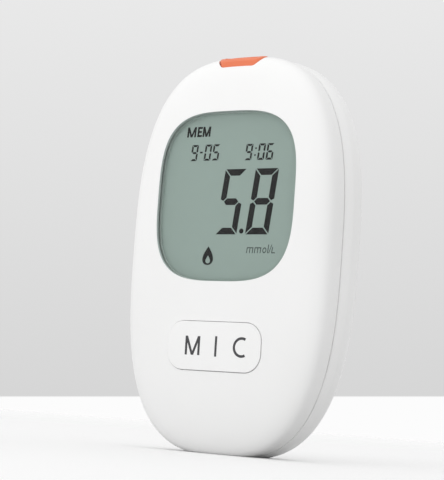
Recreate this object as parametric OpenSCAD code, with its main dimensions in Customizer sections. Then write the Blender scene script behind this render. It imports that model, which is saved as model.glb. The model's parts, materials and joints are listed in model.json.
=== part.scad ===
// Handheld blood glucose meter. Two moulded shells hold a recessed display, a
// rocker key, a test strip port at the crown and a bay for two AAA cells behind
// a tilting door. The face looks along -Y, the long axis is Z, and the origin is
// on the foot, under the middle of the casing. Every piece is drawn from the
// plane on which the shells part, and from_seam() then sets it in that frame.

/* [Casing] */
// Height from the foot to the crown
body_h = 96; // [94:1:116]
// Width of the front shell at the waist
body_w = 57.1; // [56:0.1:70]
// Depth of the front shell, from the parting plane to the face, at mid height
front_depth = 8.3; // [8.2:0.1:12]
// Depth of the rear shell, from the parting plane to the back, at mid height
rear_depth = 12; // [11.8:0.1:15]
// Wall thickness of both shells
wall = 1.8; // [1.5:0.1:2.2]
// Height of the widest section above the foot
waist_z = 48; // [44:0.5:56]
// Tilt of the face, which is deeper towards the crown, in degrees
face_tilt = 0.85; // [0:0.05:1.5]
// Tilt of the back, which is deeper towards the crown, in degrees
back_tilt = 2.7; // [1:0.1:3.5]
// How far the rim of the rear shell swells beyond the front shell at each side
rim_swell = 1.15; // [0.4:0.05:1.6]
// Open seam between the two shells
seam = 0.2; // [0.1:0.05:0.4]

/* [Display] */
// Width of the display opening
window_w = 39; // [30:0.5:40]
// Height of the display opening
window_h = 40.9; // [30:0.1:42]
// Distance from the crown to the middle of the display opening
window_drop = 34.85; // [33:0.05:38]
// Thickness of the shell ledge in front of the display window
ledge_t = 0.9; // [0.8:0.05:1.2]
// Thickness of the clear window
lens_t = 1; // [0.8:0.1:1.2]
// Thickness of each of the two display glasses
glass_t = 0.8; // [0.6:0.05:0.8]

/* [Key] */
// Width of the rocker key
key_w = 26.2; // [20:0.1:34]
// Height of the rocker key
key_h = 11.5; // [9:0.1:14]
// Height of the middle of the key above the foot
key_z = 25.2; // [24:0.1:27]
// Gap round the key
key_gap = 0.25; // [0.2:0.05:0.4]
// How far the key stands out of the face
key_proud = 0.25; // [0:0.05:0.4]
// Radius of the key's pivot pins
pivot_r = 0.7; // [0.6:0.05:0.8]

/* [Strip port] */
// Width of the port insert
port_w = 13; // [11:0.5:16]
// Front to back depth of the port insert
port_d = 5.2; // [5:0.1:5.6]
// Width of the slot for the test strip
strip_w = 7.6; // [5:0.1:9.4]
// Thickness of the slot for the test strip
strip_t = 1; // [0.8:0.1:1.4]

/* [Battery bay] */
// Diameter of a cell
cell_d = 10.5; // [8:0.1:10.6]
// Length of a cell with its nub
cell_l = 44.5; // [36:0.1:45]
// Distance from the crown to the upper end of the bay
bay_drop = 8.6; // [8:0.1:10]
// Thickness of the battery door
door_t = 1.4; // [1.2:0.1:1.6]
// Gap round the battery door
door_gap = 0.3; // [0.25:0.05:0.4]
// Length of a battery spring, compressed by its cell
spring_l = 3.6; // [3:0.1:4.5]

/* [Fasteners] */
// Radius of the case screws' shafts
screw_r = 0.95; // [0.8:0.05:1.1]
// Radius of the case screws' heads
head_r = 1.85; // [1.6:0.05:2]
// Running clearance on the radius of a pin or shaft in its hole
fit = 0.05; // [0.02:0.01:0.1]

/* [Hidden] */

$fn = 48;
tiny = 0.01;
over = 1;               // how far a cutter runs past what it cuts
far = 3 * body_h;       // a length that clears the whole casing
slack = 0.2;            // clearance between fixed pieces
outline_steps = 64;     // points round the egg outline
ring_steps = 10;        // rings from the rim to the face or the back
outline_n = 2.85;       // superellipse power of the outline
face_n = 5;             // power of the front shell's section
back_n = 3;             // power of the rear shell's section
flat_share = 0.3;       // share of the back that is flat
face_share = 0.2;       // share of the face that closes the dome as a flat
foot_cut = 0.6;         // depth trimmed off the chin to make the foot
crown_swell = 0.2;      // how far the rear rim stands out above and below
rim_y = 2.9;            // where the rear rim is at its widest

window_n = 3.38;        // superellipse power of the display opening
window_z = body_h - window_drop;
glue_t = 0.2;
glue_w = 1.2;
lens_margin = 1.6;      // how far the window reaches behind its ledge
lens_gap = 0.15;
mid_y = (back_reach() - face_on_middle(window_z + window_h / 2)) / 2;
lcd_margin = 0.6;       // how far the glass reaches beyond the opening
lcd_gap = 0.3;
film_t = 0.2;
film_gap = 0.05;
contact_ledge = 2.6;    // strip of the front glass left bare for contacts
zebra_t = 1.6;
zebra_end = 3.5;
frame_t = 1;            // wall of the display bracket
frame_rest = 2;         // width of the rest under the glass
frame_play = 0.05;      // play of the glass in its bracket

board_t = 1;
board_front = -3.1;     // face of the board towards the display
board_rear = board_front + board_t;
board_gap = 0.6;
board_hole = 0.3;       // room round a boss that passes through the board
board_foot = 8;         // lower edge of the board
board_drop = 7.5;       // crown to the upper edge of the board
leg_l = 1;              // legs of the chips, square in section
leg_w = 0.3;
leg_out = 0.6;
amp_x = 16.2;
amp_z = window_z + 12;
passive_count = 4;
passive_pitch = 1.9;
passive_row = 6;
crystal_r = 1;
crystal_l = 6;
buzzer_r = 6;
buzzer_t = 3.2;
buzzer_hole_r = 1;
buzzer_wall = 1;

glue_y = -(front_depth - ledge_t);
lens_y = glue_y + glue_t;
film_y = lens_y + lens_t + film_gap;
glass_y = film_y + film_t;
rear_glass_y = glass_y + glass_t;
reflector_y = rear_glass_y + glass_t;
rest_y = reflector_y + film_t;
lcd_w = window_w + 2 * lcd_margin;
lcd_h = window_h + 2 * lcd_margin;
lcd_r = 1.5;

key_r = 4.3;
flange_lip = 1;         // how far the key's flange reaches behind the shell
flange_t = 0.7;
rock_room = 0.85;       // free travel in front of the flange
flange_front = wall + rock_room - depth_at(front_depth, face_tilt, key_z);
flange_back = flange_front + flange_t;
pivot_y = flange_front + flange_t / 2;
ear_t = 1.4;
ear_w = 4;
ear_gap = 0.2;
ear_wall = 0.5;
pin_end = 0.1;          // how far a pin stops short of the ear's far face
bore_l = key_h + 2 * (flange_lip + ear_gap + ear_t + pin_end);
press_x = 8;            // where the two press points are
press_gap = 0.32;
press_r = 1.4;
mat_t = 0.5;
mat_edge = 1;           // how far the mat reaches beyond its domes
dome_r = 3;
dome_neck = 0.8;        // how much a dome narrows towards its top
dome_skin = 0.25;
nub_t = 0.15;
dome_top = flange_back + nub_t + press_gap;
pill_t = 0.25;
pill_r = 1.3;

port_y = -4.1;          // middle of the port, front to back
port_r = 2.5;
port_gap = 0.12;
port_proud = 0.25;
flange_drop = 7.1;      // crown to the underside of the port's flange
port_flange_t = 1.2;
port_flange_lip = 0.9;  // how far the flange reaches beyond the port at each side
port_flange_back = 0.8;
mouth_drop = 3.2;       // depth of the slot's flared mouth
mouth_flare = 1.2;
mouth_front = 0.6;      // how far the mouth opens towards the face
mouth_rear = 0.8;
slot_y = -4.5;          // plane in which the strip slides
socket_w = 11.2;
socket_l = 4.9;
socket_gap = 0.2;
socket_front = -5.7;
socket_z = body_h - flange_drop - socket_gap - socket_l;
socket_floor = 0.8;
contact_pitch = 1.3;
contact_w = 0.5;
contact_room = 0.1;     // room beside each contact
leaf_t = 0.2;
tail_l = 0.4;
bow_l = 3;              // length of a contact's bow
bow_in = 0.15;          // how far a bow stands into the slot

bay_wall = 1;
bay_floor = board_rear + slack;
cell_gap = 0.1;
cell_play = 0.05;       // play between a cell and its contact plates
cell_y = bay_floor + bay_wall + cell_gap + cell_d / 2;
cell_x = cell_d / 2 + slack;
plate_t = 0.3;
plate_w = 7.6;
plate_bridge = 3;       // width of the strip that joins the lower plates
bay_half = cell_x + cell_d / 2 + slack;
bay_l = cell_l + spring_l + 2 * (plate_t + cell_play);
bay_top = body_h - bay_drop;
bay_foot = bay_top - bay_l;
nub_l = 1;
nub_r = 1.9;
wire_r = 0.3;
spring_in = 1.9;        // how much narrower than its cell a spring is
spring_taper = 1.2;

door_rest = 0.1;        // play between the door and the ledge that it lies on
door_side = 1.6;        // how far the door overlaps the bay at each side
door_lower = 2.6;
door_upper = 1.4;
door_half = bay_half + door_side;
door_foot = bay_foot - door_lower;
door_top = bay_top + door_upper;
door_r = 3;
back_y = depth_at(rear_depth, back_tilt, door_foot);
hinge_in = 0.1;         // how far the hinge line lies inside the door's edge
hinge_y = back_y - hinge_in;
hinge_z = door_foot - hinge_in;
tab_x = 7;
tab_w = 5;
tab_l = 2.3;
tab_t = 1;
tab_gap = 0.2;
tab_room = 0.4;         // room beside each tab
tab_sweep = 4.2;        // depth that the tabs need to swing
root_in = 0.3;          // how far a tab's root lies inside the door's edge
rib_w = 1.2;            // rib between the cells
rib_dip = 0.8;
rib_end = 8;
slit_w = 0.7;
slit_l = 7;
tongue_w = 9;
grip_r = 0.35;
grip_count = 3;
grip_drop = 1.8;
grip_pitch = 1.6;
grip_end = 1.2;

boss_r = 2.3;
column_r = 2.9;
screw_seat = 4;         // where the screw heads rest in the rear shell
head_t = 1.3;
screw_l = 8.4;
tip_room = 0.3;         // drilled depth beyond a screw's tip
upper_screw_x = 16.4;
upper_screw_drop = 9.6;
lower_screw_x = 14;
lower_screw_z = 12;
screw_spots = [
    [upper_screw_x, body_h - upper_screw_drop],
    [-upper_screw_x, body_h - upper_screw_drop],
    [lower_screw_x, lower_screw_z],
    [-lower_screw_x, lower_screw_z]];
post_x = 21;
post_drop = 2.4;        // from the display's bracket to the board's posts
post_z = window_z - lcd_h / 2 - frame_t - lcd_gap - post_drop;
post_r = 1.9;
post_screw_r = 0.6;
post_head_r = 1.3;
post_head_t = 0.7;
post_screw_l = 3.2;
cross_l = 1.3;          // length and width of a screw's cross, against its head
cross_w = 0.3;
lip_in = 0.9;           // outer face of the tongue that locates the shells
lip_h = 1;
lip_root = 1.2;
lip_room = 0.1;         // clearance of the tongue at its tip

// Power that keeps the sign, for superellipses
function signed_pow(v, p) = sign(v) * pow(abs(v), p);

// Depth of a face or back that slopes by `tilt`, at height z
function depth_at(depth, tilt, z) = depth + tan(tilt) * (z - body_h / 2);

// Y of the back on the middle line, at height z above the waist
function back_on_middle(z) = let(
    s = (z - waist_z) / (body_h - waist_z),
    t = max(s - flat_share, 0) / (1 - flat_share),
    share = pow(1 - pow(t, back_n), 1 / back_n)
) rim_y + (depth_at(rear_depth, back_tilt, z) - rim_y) * share;

function back_reach() = max([for (z = [waist_z:body_h - 1]) back_on_middle(z)]);

// Depth of the face on the middle line, at height z above the waist
function face_on_middle(z) = let(
    s = (z - waist_z) / (body_h - crown_swell - waist_z)
) depth_at(front_depth, face_tilt, z) * pow(1 - pow(s, face_n), 1 / face_n);

// Point of the egg outline at angle t, as [x, z], grown by gx and gz and
// scaled by s about the waist
function egg_point(t, gx, gz, s) = let(
    half_w = body_w / 2 + gx,
    half_h = (sin(t) > 0 ? body_h - crown_swell - waist_z : waist_z + foot_cut) + gz
) [
    s * half_w * signed_pow(cos(t), 2 / outline_n),
    waist_z + s * half_h * signed_pow(sin(t), 2 / outline_n)];

function egg(gx, gz, s) =
    [for (i = [0:outline_steps - 1]) egg_point(360 * i / outline_steps, gx, gz, s)];

// Outline [x, z] points set into space at the Y of a given depth rule
function ring_flat(outline, y) = [for (p = outline) [p[0], y, p[1]]];
function ring_face(outline, inset, h) = [for (p = outline)
    [p[0], -(depth_at(front_depth, face_tilt, p[1]) - inset) * h, p[1]]];
function ring_back(outline, inset, h) = [for (p = outline)
    [p[0], rim_y + (depth_at(rear_depth, back_tilt, p[1]) - inset - rim_y) * h, p[1]]];
function reversed(list) = [for (i = [len(list) - 1:-1:0]) list[i]];

// Closed solid through a list of rings with equal point counts
module loft(rings) {
    n = len(rings[0]);
    k = len(rings);
    sides = [for (j = [0:k - 2], i = [0:n - 1])
        let(a = j * n + i, b = j * n + (i + 1) % n, c = a + n, d = b + n)
        each [[a, c, d], [a, d, b]]];
    first_cap = [[for (i = [0:n - 1]) i]];
    last_cap = [[for (i = [n - 1:-1:0]) (k - 1) * n + i]];
    polyhedron(
        points = [for (r = rings) each r],
        faces = concat(first_cap, sides, last_cap),
        convexity = 4);
}

// Solid dome of the front shell, pulled in by `inset`, from Y = base forwards
module front_form(inset, base) {
    top_angle = acos(pow(face_share, face_n / 2));
    rim = egg(-inset, -inset, 1);
    domed = [for (j = [1:ring_steps]) let(a = top_angle * j / ring_steps)
        ring_face(egg(-inset, -inset, pow(cos(a), 2 / face_n)),
            inset, pow(sin(a), 2 / face_n))];
    foot = base > 0 ? [ring_flat(rim, base), ring_flat(rim, 0)] : [ring_flat(rim, 0)];
    loft(concat(foot, domed));
}

// Solid form of the rear shell, pulled in by `inset`, from Y = -base backwards
module rear_form(inset, base) {
    rim_steps = 3;
    start = egg(-inset, -inset, 1);
    swell = [for (j = [0:rim_steps]) let(f = sin(90 * j / rim_steps))
        ring_flat(egg(rim_swell * f - inset, crown_swell * f - inset, 1),
            rim_y * j / rim_steps)];
    domed = [for (j = [1:ring_steps]) let(a = 90 * j / ring_steps)
        ring_back(egg(rim_swell - inset, crown_swell - inset,
            flat_share + (1 - flat_share) * pow(max(cos(a), 0), 2 / back_n)),
            inset, pow(sin(a), 2 / back_n))];
    foot = base > 0 ? [ring_flat(start, -base)] : [];
    loft([for (r = concat(foot, swell, domed)) reversed(r)]);
}

// Extrudes a drawing, whose second axis is Z, from Y = y0 to Y = y1
module along_y(y0, y1) {
    translate([0, y1, 0]) rotate([90, 0, 0]) linear_extrude(y1 - y0) children();
}

module rounded_rect(w, h, r) {
    square([w - 2 * r, h], center = true);
    square([w, h - 2 * r], center = true);
    for (x = [-1, 1], y = [-1, 1]) translate([x * (w / 2 - r), y * (h / 2 - r)]) circle(r);
}

module window_shape(grow) {
    polygon([for (i = [0:outline_steps - 1]) let(t = 360 * i / outline_steps) [
        (window_w / 2 + grow) * signed_pow(cos(t), 2 / window_n),
        (window_h / 2 + grow) * signed_pow(sin(t), 2 / window_n)]]);
}

// Sets a piece that is drawn from the parting plane in the part's frame
module from_seam() { translate([0, -mid_y, 0]) children(); }
module at_window() { translate([0, 0, window_z]) children(); }
module at_key() { translate([0, 0, key_z]) children(); }
module below_foot() { translate([-far / 2, -far / 2, -far]) cube([far, far, far]); }
module rod_y(r, y0, y1) { along_y(y0, y1) circle(r); }

// Port drawing in plan: [x, y], rounded like the opening at the crown
module port_shape(grow) {
    translate([0, port_y]) rounded_rect(port_w + 2 * grow, port_d + 2 * grow, port_r + grow);
}

module at_screws() {
    for (p = screw_spots) translate([p[0], 0, p[1]]) children();
}

module at_posts() {
    for (x = [-post_x, post_x]) translate([x, 0, post_z]) children();
}

module front_shell() {
    color("white") from_seam() difference() {
        union() {
            difference() {
                front_form(0, 0);
                front_form(wall, over);
                along_y(-seam / 2, over) square(far, center = true);
            }
            intersection() {
                front_form(wall / 2, 0);
                union() {
                    at_screws() rod_y(boss_r, -2 * front_depth, -seam / 2);
                    at_posts() rod_y(post_r, -2 * front_depth, board_front);
                    at_key() key_ears();
                }
            }
            locating_lip();
        }
        at_window() along_y(-2 * front_depth, 0) window_shape(0);
        at_window() along_y(glue_y, 0) window_shape(lens_margin + lens_gap);
        at_window() along_y(film_y - film_gap, 0)
            rounded_rect(lcd_w + 2 * lcd_gap, lcd_h + 2 * lcd_gap, lcd_r + lcd_gap);
        at_key() along_y(-2 * front_depth, flange_front)
            rounded_rect(key_w + 2 * key_gap, key_h + 2 * key_gap, key_r + key_gap);
        translate([0, 0, body_h - flange_drop]) linear_extrude(2 * flange_drop)
            port_shape(port_gap);
        at_screws() rod_y(screw_r + fit, screw_seat - screw_l - tip_room, over);
        at_posts() rod_y(post_screw_r + fit, board_rear - post_screw_l - tip_room, over);
        translate([0, pivot_y, key_z - bore_l / 2]) cylinder(h = bore_l, r = pivot_r + fit);
        below_foot();
    }
}

// Two ears behind the face that carry the key's pivot pins
module key_ears() {
    reach = key_h / 2 + flange_lip + ear_gap;
    for (s = [-1, 1]) translate([0, 0, s * (reach + ear_t / 2)])
        along_y(-2 * front_depth, pivot_y + pivot_r + fit + ear_wall)
            square([ear_w, ear_t], center = true);
}

// Tongue on the front shell's rim that enters the rear shell
module locating_lip() {
    difference() {
        along_y(-lip_root, lip_h) polygon(egg(-lip_in, -lip_in, 1));
        along_y(-lip_root - over, lip_h + over) polygon(egg(-wall, -wall, 1));
    }
}

module at_bay() { translate([0, 0, bay_foot + bay_l / 2]) children(); }

module rear_shell() {
    color("white") from_seam() difference() {
        union() {
            difference() {
                rear_form(0, 0);
                rear_form(wall, over);
                along_y(-over, lip_h + lip_room) polygon(egg(fit - lip_in, fit - lip_in, 1));
                along_y(-over, seam / 2) square(far, center = true);
            }
            intersection() {
                rear_form(wall / 2, over - bay_floor);
                union() {
                    at_screws() rod_y(column_r, lip_h + lip_room, far);
                    at_bay() along_y(bay_floor, far)
                        square([2 * (bay_half + bay_wall), bay_l + 2 * bay_wall], center = true);
                }
            }
        }
        at_bay() along_y(bay_floor + bay_wall, far)
            square([2 * bay_half, bay_l], center = true);
        door_pocket();
        for (x = [-tab_x, tab_x])
            translate([x - tab_w / 2 - tab_room, back_y - tab_sweep, door_foot - door_gap])
                cube([tab_w + 2 * tab_room, tab_sweep, door_gap + door_lower + over / 2]);
        at_screws() rod_y(screw_r + slack, 0, far);
        at_screws() rod_y(head_r + slack, screw_seat, far);
        below_foot();
    }
}

module door_shape(grow) {
    translate([0, (door_foot + door_top) / 2])
        rounded_rect(2 * (door_half + grow), door_top - door_foot + 2 * grow, door_r + grow);
}

// Room for the door's panel, as deep as the panel is thick
module door_pocket() {
    difference() {
        along_y(rear_depth / 2, far) door_shape(door_gap);
        rear_form(door_t, 0);
    }
}

module battery_door() {
    color("white") from_seam() difference() {
        union() {
            intersection() {
                difference() {
                    rear_form(0, 0);
                    rear_form(door_t - door_rest, over);
                }
                along_y(rear_depth / 2, far) door_shape(0);
            }
            for (x = [-tab_x, tab_x]) translate([x, 0, 0]) door_tab();
            door_rib();
            grip_ribs();
        }
        for (x = [-tongue_w / 2, tongue_w / 2])
            translate([x - slit_w / 2, 0, door_top - slit_l])
                cube([slit_w, far, 2 * slit_l]);
    }
}

// Hook at the lower edge of the door: a root behind the panel and a tongue
// that lies under the rear shell
module door_tab() {
    tongue_y = back_y - wall - tab_gap - tab_t;
    root_h = door_lower - bay_wall;
    translate([-tab_w / 2, tongue_y, door_foot - tab_l])
        cube([tab_w, tab_t, tab_l + root_h]);
    translate([-tab_w / 2, tongue_y, door_foot + root_in])
        cube([tab_w, back_y - tongue_y - door_t / 2, root_h - root_in]);
}

// Rib that stands in the valley between the two cells
module door_rib() {
    rib_y = cell_y + cell_d / 2 - rib_dip;
    translate([-rib_w / 2, rib_y, bay_foot + rib_end])
        cube([rib_w, back_y - door_t / 2 - rib_y, bay_l - 2 * rib_end]);
}

// Ribs for the thumb on the latch tongue
module grip_ribs() {
    for (i = [0:grip_count - 1]) let(z = door_top - grip_drop - grip_pitch * i)
        translate([0, back_on_middle(z), z]) rotate([0, 90, 0])
            cylinder(h = tongue_w - 2 * grip_end, r = grip_r, center = true);
}

module display_window() {
    color([0.85, 0.92, 0.9, 0.4]) from_seam()
        at_window() along_y(lens_y, lens_y + lens_t) window_shape(lens_margin);
}

module window_adhesive() {
    color("dimgray") from_seam() at_window() along_y(glue_y, lens_y) difference() {
        window_shape(lens_margin);
        window_shape(lens_margin - glue_w);
    }
}

module lcd_sheet(y, t, h) {
    at_window() along_y(y, y + t) rounded_rect(lcd_w, h, lcd_r);
}

module lcd_polariser() {
    color([0.62, 0.68, 0.65, 0.6]) from_seam() lcd_sheet(film_y, film_t, lcd_h);
}

module lcd_front_glass() {
    color([0.6, 0.67, 0.64, 0.5]) from_seam() lcd_sheet(glass_y, glass_t, lcd_h);
}

module lcd_rear_glass() {
    color([0.6, 0.67, 0.64, 0.5]) from_seam()
        lcd_sheet(rear_glass_y, glass_t, lcd_h - 2 * contact_ledge);
}

module lcd_reflector() {
    color([0.62, 0.68, 0.65]) from_seam()
        lcd_sheet(reflector_y, film_t, lcd_h - 2 * contact_ledge);
}

// Frame that holds the glass off the board, with slots for the two zebra strips
module lcd_bracket() {
    inner_w = lcd_w + 2 * frame_play;
    inner_h = lcd_h + 2 * frame_play;
    color("whitesmoke") from_seam() intersection() {
        front_form(wall + slack, over);
        at_window() difference() {
            along_y(glass_y, board_front)
                rounded_rect(inner_w + 2 * frame_t, inner_h + 2 * frame_t, lcd_r + frame_t);
            along_y(glass_y - over, rest_y) rounded_rect(inner_w, inner_h, lcd_r);
            along_y(glass_y, board_front + over)
                square([inner_w - 2 * frame_rest, inner_h - 2 * contact_ledge - 2 * frame_rest],
                    center = true);
            for (s = [-1, 1]) translate([0, 0, s * (lcd_h - contact_ledge) / 2])
                along_y(glass_y, board_front + over)
                    square([lcd_w - 2 * zebra_end + 2 * slack, zebra_t + slack], center = true);
        }
    }
}

// Rubber connector between the bare edge of the front glass and the board
module zebra_strip(side) {
    color("dimgray") from_seam() at_window() translate([0, 0, side * (lcd_h - contact_ledge) / 2])
        along_y(rear_glass_y, board_front)
            square([lcd_w - 2 * zebra_end, zebra_t], center = true);
}

module zebra_strip_upper() { zebra_strip(1); }
module zebra_strip_lower() { zebra_strip(-1); }

module main_board() {
    inset = wall + board_gap;
    color("seagreen") from_seam() difference() {
        intersection() {
            along_y(board_front, board_rear) polygon(egg(-inset, -inset, 1));
            translate([-far / 2, -far / 2, board_foot])
                cube([far, far, body_h - board_drop - board_foot]);
        }
        at_screws() rod_y(boss_r + board_hole, board_front - over, board_rear + over);
        at_posts() rod_y(post_screw_r + slack, board_front - over, board_rear + over);
    }
}

// Screw along Y with its head towards +Y and a cross recess
module screw(shaft_r, shaft_l, top_r, top_t) {
    rod_y(shaft_r, -shaft_l, tiny);
    difference() {
        rod_y(top_r, 0, top_t);
        for (a = [0, 90]) rotate([0, a, 0]) along_y(top_t / 2, top_t + over)
            square([cross_l * top_r, cross_w * top_r], center = true);
    }
}

module board_screws() {
    color("silver") from_seam() at_posts() translate([0, board_rear, 0])
        screw(post_screw_r, post_screw_l, post_head_r, post_head_t);
}

module case_screws() {
    color("silver") from_seam() at_screws() translate([0, screw_seat, 0])
        screw(screw_r, screw_l, head_r, head_t);
}

// Block on the rear face of the board, centred at [x, z]
module chip(x, z, w, h, t) {
    translate([x - w / 2, board_rear, z - h / 2]) cube([w, t, h]);
}

// Package with a row of legs along its two upright sides
module legged_chip(x, z, w, h, t, legs, pitch) {
    chip(x, z, w, h, t);
    for (side = [-1, 1], i = [0:legs - 1])
        chip(x + side * (w + leg_out) / 2, z + (i - (legs - 1) / 2) * pitch,
            leg_l, leg_w, leg_w);
}

module microcontroller() {
    color("#222222") from_seam() legged_chip(-9, 25, 8, 9, 1.2, 12, 0.65);
}

module memory_chip() {
    color("#222222") from_seam() legged_chip(0, 32, 4, 5, 1.2, 4, 1.27);
}

module sensor_amplifier() {
    color("#222222") from_seam() legged_chip(amp_x, amp_z, 3.4, 5, 1.1, 4, 1.27);
}

module clock_crystal() {
    color("silver") from_seam() translate([-12, board_rear + crystal_r, 17])
        rotate([0, 90, 0]) cylinder(h = crystal_l, r = crystal_r);
}

module buzzer() {
    color("#2a2a2a") from_seam() translate([10, 0, 24]) difference() {
        rod_y(buzzer_r, board_rear, board_rear + buzzer_t);
        rod_y(buzzer_hole_r, board_rear + buzzer_t - buzzer_wall, board_rear + 2 * buzzer_t);
    }
}

// Two rows of small parts, below and above the sensor amplifier
module board_passives() {
    color("tan") from_seam() for (row = [-1, 1], i = [0:passive_count - 1])
        chip(amp_x + passive_pitch * (i - (passive_count - 1) / 2),
            amp_z + passive_row * row, 0.8, 1.6, 0.6);
}

// Insert at the crown: its top follows the shell, a flange keeps it inside,
// and a slot with a flared mouth takes the test strip
module strip_port() {
    flange_z = body_h - flange_drop;
    mouth_w = strip_w + 2 * mouth_flare;
    mouth_d = strip_t + mouth_front + mouth_rear;
    color("#ee7850") from_seam() difference() {
        union() {
            intersection() {
                front_form(-port_proud, 0);
                translate([0, 0, flange_z]) linear_extrude(2 * flange_drop) port_shape(0);
            }
            translate([0, 0, flange_z]) linear_extrude(port_flange_t) port_flange();
        }
        translate([-strip_w / 2, slot_y - strip_t / 2, flange_z - over])
            cube([strip_w, strip_t, far]);
        hull() {
            translate([-strip_w / 2, slot_y - strip_t / 2, body_h - mouth_drop])
                cube([strip_w, strip_t, tiny]);
            translate([-mouth_w / 2, slot_y - strip_t / 2 - mouth_front, body_h + over])
                cube([mouth_w, mouth_d, tiny]);
        }
    }
}

module port_flange() {
    translate([0, port_y + port_flange_back])
        rounded_rect(port_w + 2 * port_flange_lip, port_d - port_gap, port_r);
}

module socket_block(x0, x1, y0, y1, z0, z1) {
    translate([x0, y0, z0]) cube([x1 - x0, y1 - y0, z1 - z0]);
}

// Socket on the board that the strip's end slides into
module strip_connector() {
    half = strip_w / 2;
    color("#202020") from_seam() difference() {
        socket_block(-socket_w / 2, socket_w / 2, socket_front, board_front,
            socket_z, socket_z + socket_l);
        socket_block(-half, half, slot_y - strip_t / 2, slot_y + strip_t / 2,
            socket_z + socket_floor, body_h);
        for (i = [-2:2]) let(x = i * contact_pitch, room = contact_w / 2 + contact_room)
            socket_block(x - room, x + room, slot_y, board_front + over,
                socket_z - over, body_h);
    }
}

// Five leaf contacts, each with a bow into the slot and a foot on the board
module strip_contacts() {
    foot_y = board_front - leaf_t;
    bow_y = slot_y + strip_t / 2 - bow_in;
    top_z = socket_z + socket_l - 3 * leaf_t;
    color("gold") from_seam() for (i = [-2:2])
        translate([i * contact_pitch - contact_w / 2, 0, 0]) rotate([90, 0, 90])
            linear_extrude(contact_w) polygon([
                [board_front, socket_z - tail_l], [board_front, top_z], [foot_y, top_z],
                [bow_y, top_z - 0.4 * bow_l], [bow_y, top_z - 0.5 * bow_l],
                [foot_y, top_z - bow_l], [foot_y, socket_z - tail_l]]);
}

module rocker_key() {
    flange_w = key_w + 2 * flange_lip;
    flange_h = key_h + 2 * flange_lip;
    pin_l = flange_h + 2 * (ear_gap + ear_t - pin_end);
    color("white") from_seam() {
        intersection() {
            front_form(-key_proud, 0);
            at_key() along_y(-2 * front_depth, flange_back) rounded_rect(key_w, key_h, key_r);
        }
        at_key() along_y(flange_front, flange_back) rounded_rect(flange_w, flange_h, key_r);
        for (x = [-press_x, press_x]) translate([x, 0, key_z])
            rod_y(press_r, flange_back - tiny, flange_back + nub_t);
        translate([0, pivot_y, key_z - pin_l / 2]) cylinder(h = pin_l, r = pivot_r);
    }
}

// Rubber mat with a hollow dome under each end of the key
module key_mat() {
    dome_h = board_front - mat_t - dome_top;
    mat_half = dome_r + mat_edge;
    color("lightgray") from_seam() difference() {
        union() {
            at_key() along_y(board_front - mat_t, board_front)
                rounded_rect(2 * (press_x + mat_half), 2 * mat_half, 2 * mat_edge);
            for (x = [-press_x, press_x]) translate([x, board_front - mat_t, key_z])
                rotate([90, 0, 0]) cylinder(h = dome_h, r1 = dome_r, r2 = dome_r - dome_neck);
        }
        for (x = [-press_x, press_x]) translate([x, 0, key_z])
            rod_y(dome_r - dome_neck - dome_skin, dome_top + dome_skin, board_front + over);
    }
}

module contact_pills() {
    color("#303030") from_seam() for (x = [-press_x, press_x]) translate([x, 0, key_z])
        rod_y(pill_r, dome_top + dome_skin, dome_top + dome_skin + pill_t);
}

// Cell along Z, standing on its flat end at z, or on its nub if turned
module battery_cell(x, z, turned) {
    color("#4f6f8f") from_seam() translate([x, cell_y, z + (turned ? cell_l : 0)])
        mirror([0, 0, turned ? 1 : 0]) {
            cylinder(h = cell_l - nub_l, r = cell_d / 2);
            cylinder(h = cell_l, r = nub_r);
        }
}

module battery_cell_left() {
    battery_cell(-cell_x, bay_foot + plate_t + spring_l + cell_play, false);
}

module battery_cell_right() { battery_cell(cell_x, bay_foot + plate_t + cell_play, true); }

// Conical spring wound along Z from the wide end at z = 0, three turns
module coil(length, r_wide, r_narrow, wire) {
    turns = 3;
    per_turn = 14;
    sides = 8;
    steps = turns * per_turn;
    rise = length - 2 * wire;
    rings = [for (k = [0:steps]) let(
        a = 360 * k / per_turn,
        f = k / steps,
        r = r_wide + (r_narrow - r_wide) * f,
        z = wire + rise * f
    ) [for (j = [0:sides - 1]) let(b = -360 * j / sides) [
        (r + wire * cos(b)) * cos(a), (r + wire * cos(b)) * sin(a), z + wire * sin(b)]]];
    loft(rings);
}

module battery_springs() {
    wide = cell_d / 2 - spring_in;
    color("silver") from_seam() {
        translate([-cell_x, cell_y, bay_foot + plate_t])
            coil(spring_l, wide, wide - spring_taper, wire_r);
        translate([cell_x, cell_y, bay_top - plate_t]) rotate([180, 0, 0])
            coil(spring_l, wide, wide - spring_taper, wire_r);
    }
}

module contact_plate(x, z) {
    translate([x - plate_w / 2, cell_y - plate_w / 2, z]) cube([plate_w, plate_w, plate_t]);
}

// One plate that joins the lower ends of both cells
module link_plate() {
    color("silver") from_seam() {
        contact_plate(-cell_x, bay_foot);
        contact_plate(cell_x, bay_foot);
        translate([-cell_x, cell_y - plate_bridge / 2, bay_foot])
            cube([2 * cell_x, plate_bridge, plate_t]);
    }
}

module terminal_plates() {
    color("silver") from_seam() for (x = [-cell_x, cell_x]) contact_plate(x, bay_top - plate_t);
}

front_shell();
rear_shell();
battery_door();
display_window();
window_adhesive();
lcd_polariser();
lcd_front_glass();
lcd_rear_glass();
lcd_reflector();
lcd_bracket();
zebra_strip_upper();
zebra_strip_lower();
main_board();
board_screws();
microcontroller();
memory_chip();
sensor_amplifier();
clock_crystal();
buzzer();
board_passives();
strip_port();
strip_connector();
strip_contacts();
rocker_key();
key_mat();
contact_pills();
battery_cell_left();
battery_cell_right();
battery_springs();
link_plate();
terminal_plates();
case_screws();
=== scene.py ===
# %% [markdown]
# # A handheld blood glucose meter
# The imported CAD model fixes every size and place. This script builds the looks
# round it: smooth shells with rounded edges, a display with its marks, a key
# with its legend, and a material for each piece. Lengths are in millimetres,
# and `MM` turns them into Blender's metres where a mesh is made.

import json
import math

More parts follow.
